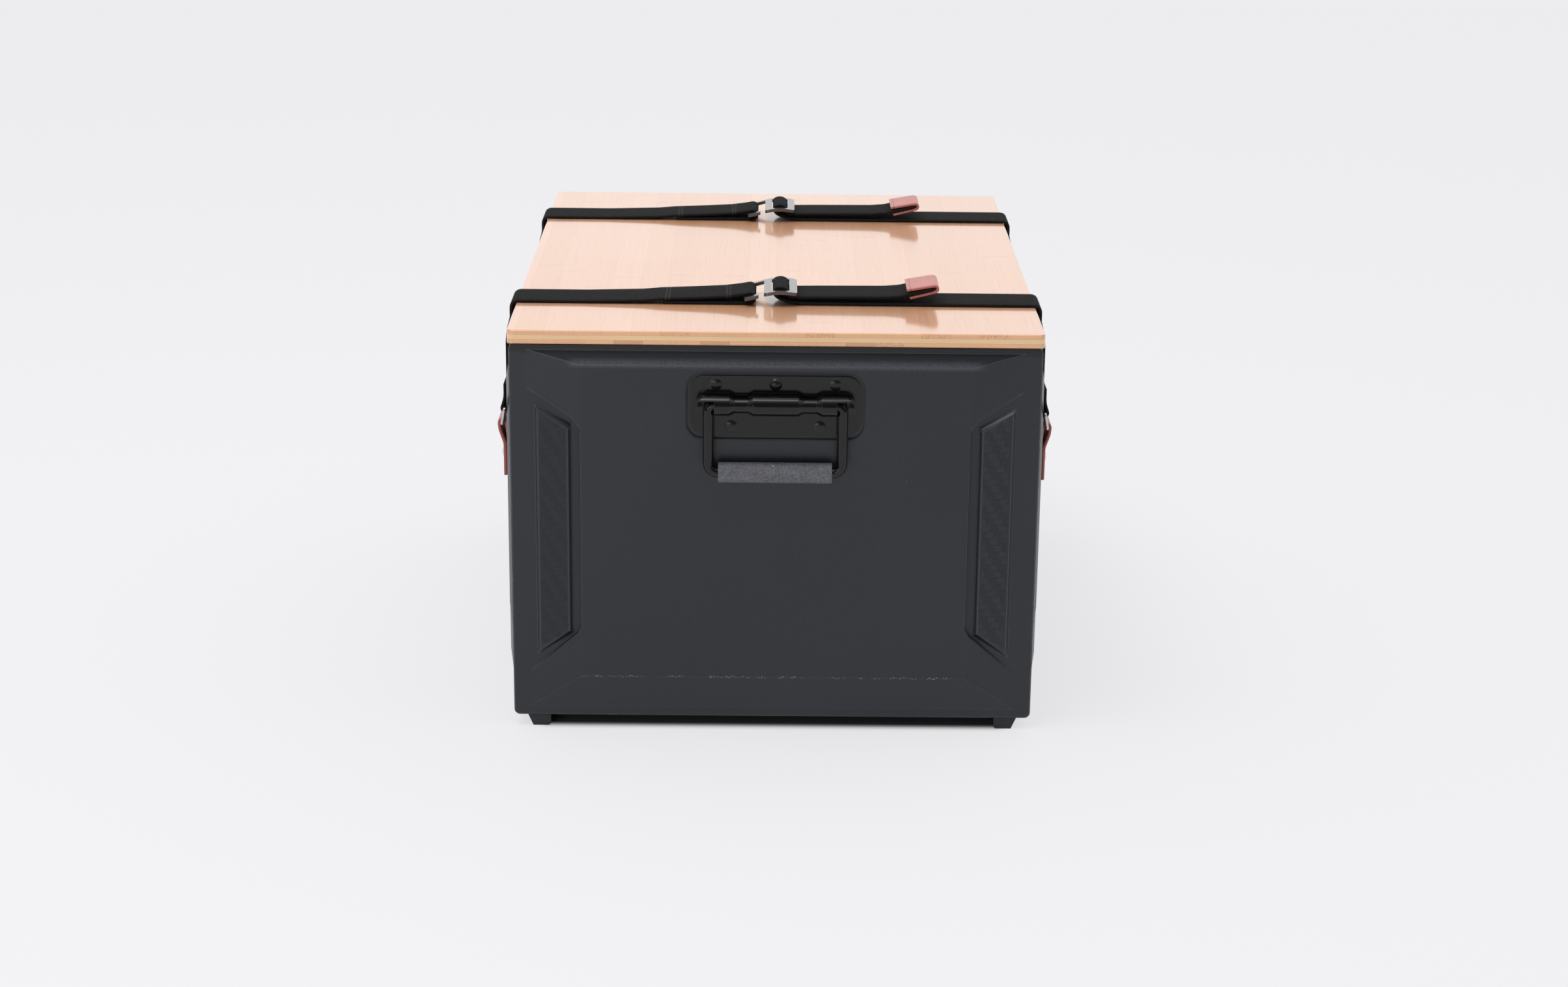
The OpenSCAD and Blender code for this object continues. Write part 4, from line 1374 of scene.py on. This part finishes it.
@dataclass
class LeatherLoop:
    """A doubled leather loop that holds one ring. Sizes in millimetres."""

    end: End
    side: Side
    strap_y: float = 159.5
    width: float = 34.0
    thickness: float = 2.6
    leaf_in: float = 207.6
    leaf_out: float = 210.5
    ring_low_x: float = 212.13
    ring_low_z: float = 218.18
    turn: float = 2.85
    end_z: float = 175.18
    rivet_z: float = 190.18

    def route(self) -> Route:
        """Up the wall, round the ring's lower wire and down again.

        Returns:
            The centre line.
        """
        x, z, r = self.ring_low_x, self.ring_low_z, self.turn
        return Route(
            [(self.leaf_in, self.end_z), (self.leaf_in, self.rivet_z + 14), (x - r, z)]
            + arc((x, z), r, 160, 0, 8)
            + [
                (x + r - 0.7, z - 6),
                (self.leaf_out + 0.3, self.rivet_z + 12),
                (self.leaf_out, self.rivet_z + 8),
                (self.leaf_out, self.end_z),
            ]
        )

    def build(self) -> Piece:
        """Builds the loop.

        Returns:
            The piece, on the box.
        """
        name = f"{self.end.name.lower()}_{self.side.name.lower()}_leather"
        piece = Band(
            f"{name}_strip",
            self.route(),
            self.width,
            self.thickness,
            self.end.value * self.strap_y,
            self.side is Side.LEFT,
            step=1.2,
            lanes=8,
            rim_slot=1,
        ).build()
        Leather("loop_leather", srgb(178, 96, 88), srgb(116, 54, 50)).dress(piece, RawEdge())
        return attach(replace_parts(piece, f"{name}_loop"), "box")


@dataclass
class HardParts:
    """The rigid nodes of the model, each with its finish."""

    end_half: float = 0.199
    end_pad: tuple[float, float] = (0.1535, 0.1800)
    side_half: float = 0.2588
    side_pad: tuple[float, float] = (0.2133, 0.2398)

    def finishes(self) -> dict[str, Finish]:
        """Chooses the finish of each rigid node.

        Returns:
            The finishes by the nodes' names.
        """
        end_wall = MouldedWall("moulded_end_wall", Facing.END, self.end_half, *self.end_pad, soften=0.0022)
        side_wall = MouldedWall(
            "moulded_side_wall", Facing.SIDE, self.side_half, *self.side_pad, slope_z=(0.2630, 0.2990)
        )
        base = MouldedBase()
        zinc = PlainMetal("zinc_steel", srgb(176, 177, 180), 0.34)
        lacquer = BlackLacquer("black_steel")
        chosen: dict[str, Finish] = {
            "floor_pan": base,
            "left_side_panel": side_wall,
            "right_side_panel": side_wall,
            "corner_screws": zinc,
            "foot_screws": zinc,
            "lid_screws": zinc,
            "lid_board": Bamboo(),
            "loop_rivets": PlainMetal("rivet_nickel", srgb(214, 212, 208), 0.2),
        }
        for end in ("front", "rear"):
            chosen[f"{end}_end_panel"] = end_wall
            chosen[f"{end}_lid_batten"] = BattenBamboo()
            for part in ("plate", "cover", "bail"):
                chosen[f"{end}_handle_{part}"] = lacquer
            chosen[f"{end}_handle_rivets"] = BlackLacquer("black_rivet", srgb(24, 24, 26), 0.18, 0.0003)
            chosen[f"{end}_handle_grip"] = Vinyl()
            chosen[f"{end}_handle_backing_strip"] = zinc
            chosen[f"{end}_strap_hook"] = SatinAlloy()
            for side in ("left", "right"):
                chosen[f"{end}_{side}_foot"] = base
                chosen[f"{end}_{side}_ring"] = PlainMetal("ring_steel", srgb(205, 202, 200), 0.2)
        return chosen

    def build(self) -> None:
        """Dresses every rigid node."""
        for name, finish in self.finishes().items():
            finish.dress(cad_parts[name])
            log.info("dressed %s in %s", name, finish.label)


# Studio


@dataclass(frozen=True)
class Lamp:
    """A soft lamp that faces the box: its place and size in metres and its power in watts."""

    name: str
    place: tuple[float, float, float]
    size: tuple[float, float]
    power: float


@dataclass
class Studio:
    """Camera, lights, sky and floor."""

    picture: tuple[int, int] = (2408, 1515)
    sensor: float = 36.0
    focal_px: float = 4389.71
    centre_px: tuple[float, float] = (1240.0, 757.5)
    place: tuple[float, float, float] = (-0.00643, -2.32291, 0.82291)
    pitch: float = 0.2984
    yaw: float = -0.0151
    roll: float = 0.0137
    aim: Vector = field(default_factory=lambda: Vector((0, 0, 0.2)))
    floor_colour: Colour = srgb(241, 241, 243)
    floor_size: float = 40.0
    floor_glow: float = 0.75
    under_shade: float = 0.2
    under_x: tuple[float, float] = (0.172, 0.184)
    under_y: tuple[float, float] = (0.254, 0.271)
    bright_side: tuple[float, float, float] = (0.0, 0.80, 0.60)
    sky_from: tuple[float, float] = (-0.35, 0.5)
    sky_strength: tuple[float, float] = (0.12, 1.05)
    backdrop: float = 0.86
    lamps: tuple[Lamp, ...] = (
        Lamp("overhead", (-0.55, -0.6, 2.4), (1.3, 1.0), 16.0),
        Lamp("front_left", (-1.0, -2.3, 0.60), (1.5, 0.5), 6.0),
    )

    def camera(self) -> Piece:
        """Sets the camera as the photograph was taken.

        Returns:
            The camera's object.
        """
        data = bpy.data.cameras.new("camera")
        data.sensor_fit = "HORIZONTAL"
        data.sensor_width = self.sensor
        data.lens = self.focal_px / self.picture[0] * self.sensor
        data.shift_x = (self.picture[0] / 2 - self.centre_px[0]) / self.picture[0]
        data.shift_y = (self.centre_px[1] - self.picture[1] / 2) / self.picture[0]
        data.clip_start = 0.05
        data.clip_end = 100.0
        camera = bpy.data.objects.new("camera", data)
        bpy.context.scene.collection.objects.link(camera)
        cp, sp = math.cos(self.pitch), math.sin(self.pitch)
        cy, sy = math.cos(self.yaw), math.sin(self.yaw)
        cr, sr = math.cos(self.roll), math.sin(self.roll)
        base = Matrix(((1, 0, 0), (0, 0, -1), (0, 1, 0)))
        tip = Matrix(((1, 0, 0), (0, cp, -sp), (0, sp, cp)))
        turn = Matrix(((cy, sy, 0), (-sy, cy, 0), (0, 0, 1)))
        lean = Matrix(((cr, -sr, 0), (sr, cr, 0), (0, 0, 1)))
        rows = lean @ tip @ base @ turn
        axes = Matrix((rows[0], -rows[1], -rows[2])).transposed()
        camera.matrix_world = Matrix.Translation(self.place) @ axes.to_4x4()
        bpy.context.scene.camera = camera
        return camera

    def sky(self) -> None:
        """A sky that is bright overhead and behind, dim in front, and plain where the camera sees it."""
        world = bpy.data.worlds.new("studio")
        bpy.context.scene.world = world
        graph = Graph(world)
        coords = graph.node("ShaderNodeTexCoord")
        path = graph.node("ShaderNodeLightPath")
        ways = {0: coords.outputs["Generated"], 1: self.bright_side}
        lean = graph.node("ShaderNodeVectorMath", {"operation": "DOT_PRODUCT"}, ways)
        share = Signal(graph, lean.outputs["Value"]).step(*self.sky_from)
        dim, bright = self.sky_strength
        strength = share * (bright - dim) + dim
        seen = Signal(graph, path.outputs["Is Camera Ray"])
        graph.surface(Color=(1.0, 0.995, 1.0), Strength=strength * (1 - seen) + seen * self.backdrop)

    def hang(self, lamp: Lamp) -> None:
        """Adds one lamp.

        Args:
            lamp: The lamp.
        """
        data = bpy.data.lights.new(lamp.name, "AREA")
        data.shape = "RECTANGLE"
        data.size, data.size_y = lamp.size
        data.energy = lamp.power
        hung = bpy.data.objects.new(lamp.name, data)
        hung.location = lamp.place
        hung.rotation_euler = (self.aim - Vector(lamp.place)).to_track_quat("-Z", "Y").to_euler()
        bpy.context.scene.collection.objects.link(hung)

    def floor(self) -> Piece:
        """A wide pale floor, whose colour is even where the camera sees it outside the box's footprint and which keeps
        the box's shadow; under the box its colour is darkened as a painted shadow.

        Returns:
            The floor's object.
        """
        clear_selection()
        bpy.ops.mesh.primitive_plane_add(size=self.floor_size, location=(0, 0, 0))
        floor = bpy.context.object
        floor.name = "studio_floor"
        material = bpy.data.materials.new("studio_floor")
        graph = Graph(material)
        x, y, _ = graph.place()
        # Under the box the floor takes no glow and a darker colour, a painted shadow.
        under = (1 - abs(x).step(*self.under_x)) * (1 - abs(y).step(*self.under_y))
        seen = graph.seen() * (1 - under)
        lit = graph.mix(under, self.floor_colour, shade(self.floor_colour, self.under_shade))
        graph.surface(
            Base_Color=graph.mix(seen, lit, shade(self.floor_colour, 1 - self.floor_glow)),
            Emission_Color=graph.mix(seen, (0.0, 0.0, 0.0), shade(self.floor_colour, self.floor_glow)),
            Emission_Strength=1.0,
            Roughness=1.0,
            Specular_IOR_Level=0.0,
        )
        floor.data.materials.append(material)
        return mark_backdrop(floor) or floor

    def build(self) -> None:
        """Sets up the studio."""
        scene = bpy.context.scene
        scene.view_settings.view_transform = "Standard"
        self.camera()
        self.sky()
        self.floor()
        for lamp in self.lamps:
            self.hang(lamp)
        log.info("studio ready")


def main() -> None:
    """Builds the studio, the finishes and the soft pieces."""
    logging.basicConfig(level=logging.INFO, format="%(name)s: %(message)s")
    Studio().build()
    HardParts().build()
    for end in End:
        for piece in LidStrap(end).build():
            log.info("built %s with %d faces", piece.name, len(piece.data.polygons))
        for side in Side:
            piece = LeatherLoop(end, side).build()
            log.info("built %s with %d faces", piece.name, len(piece.data.polygons))


if __name__ == "__main__":
    main()
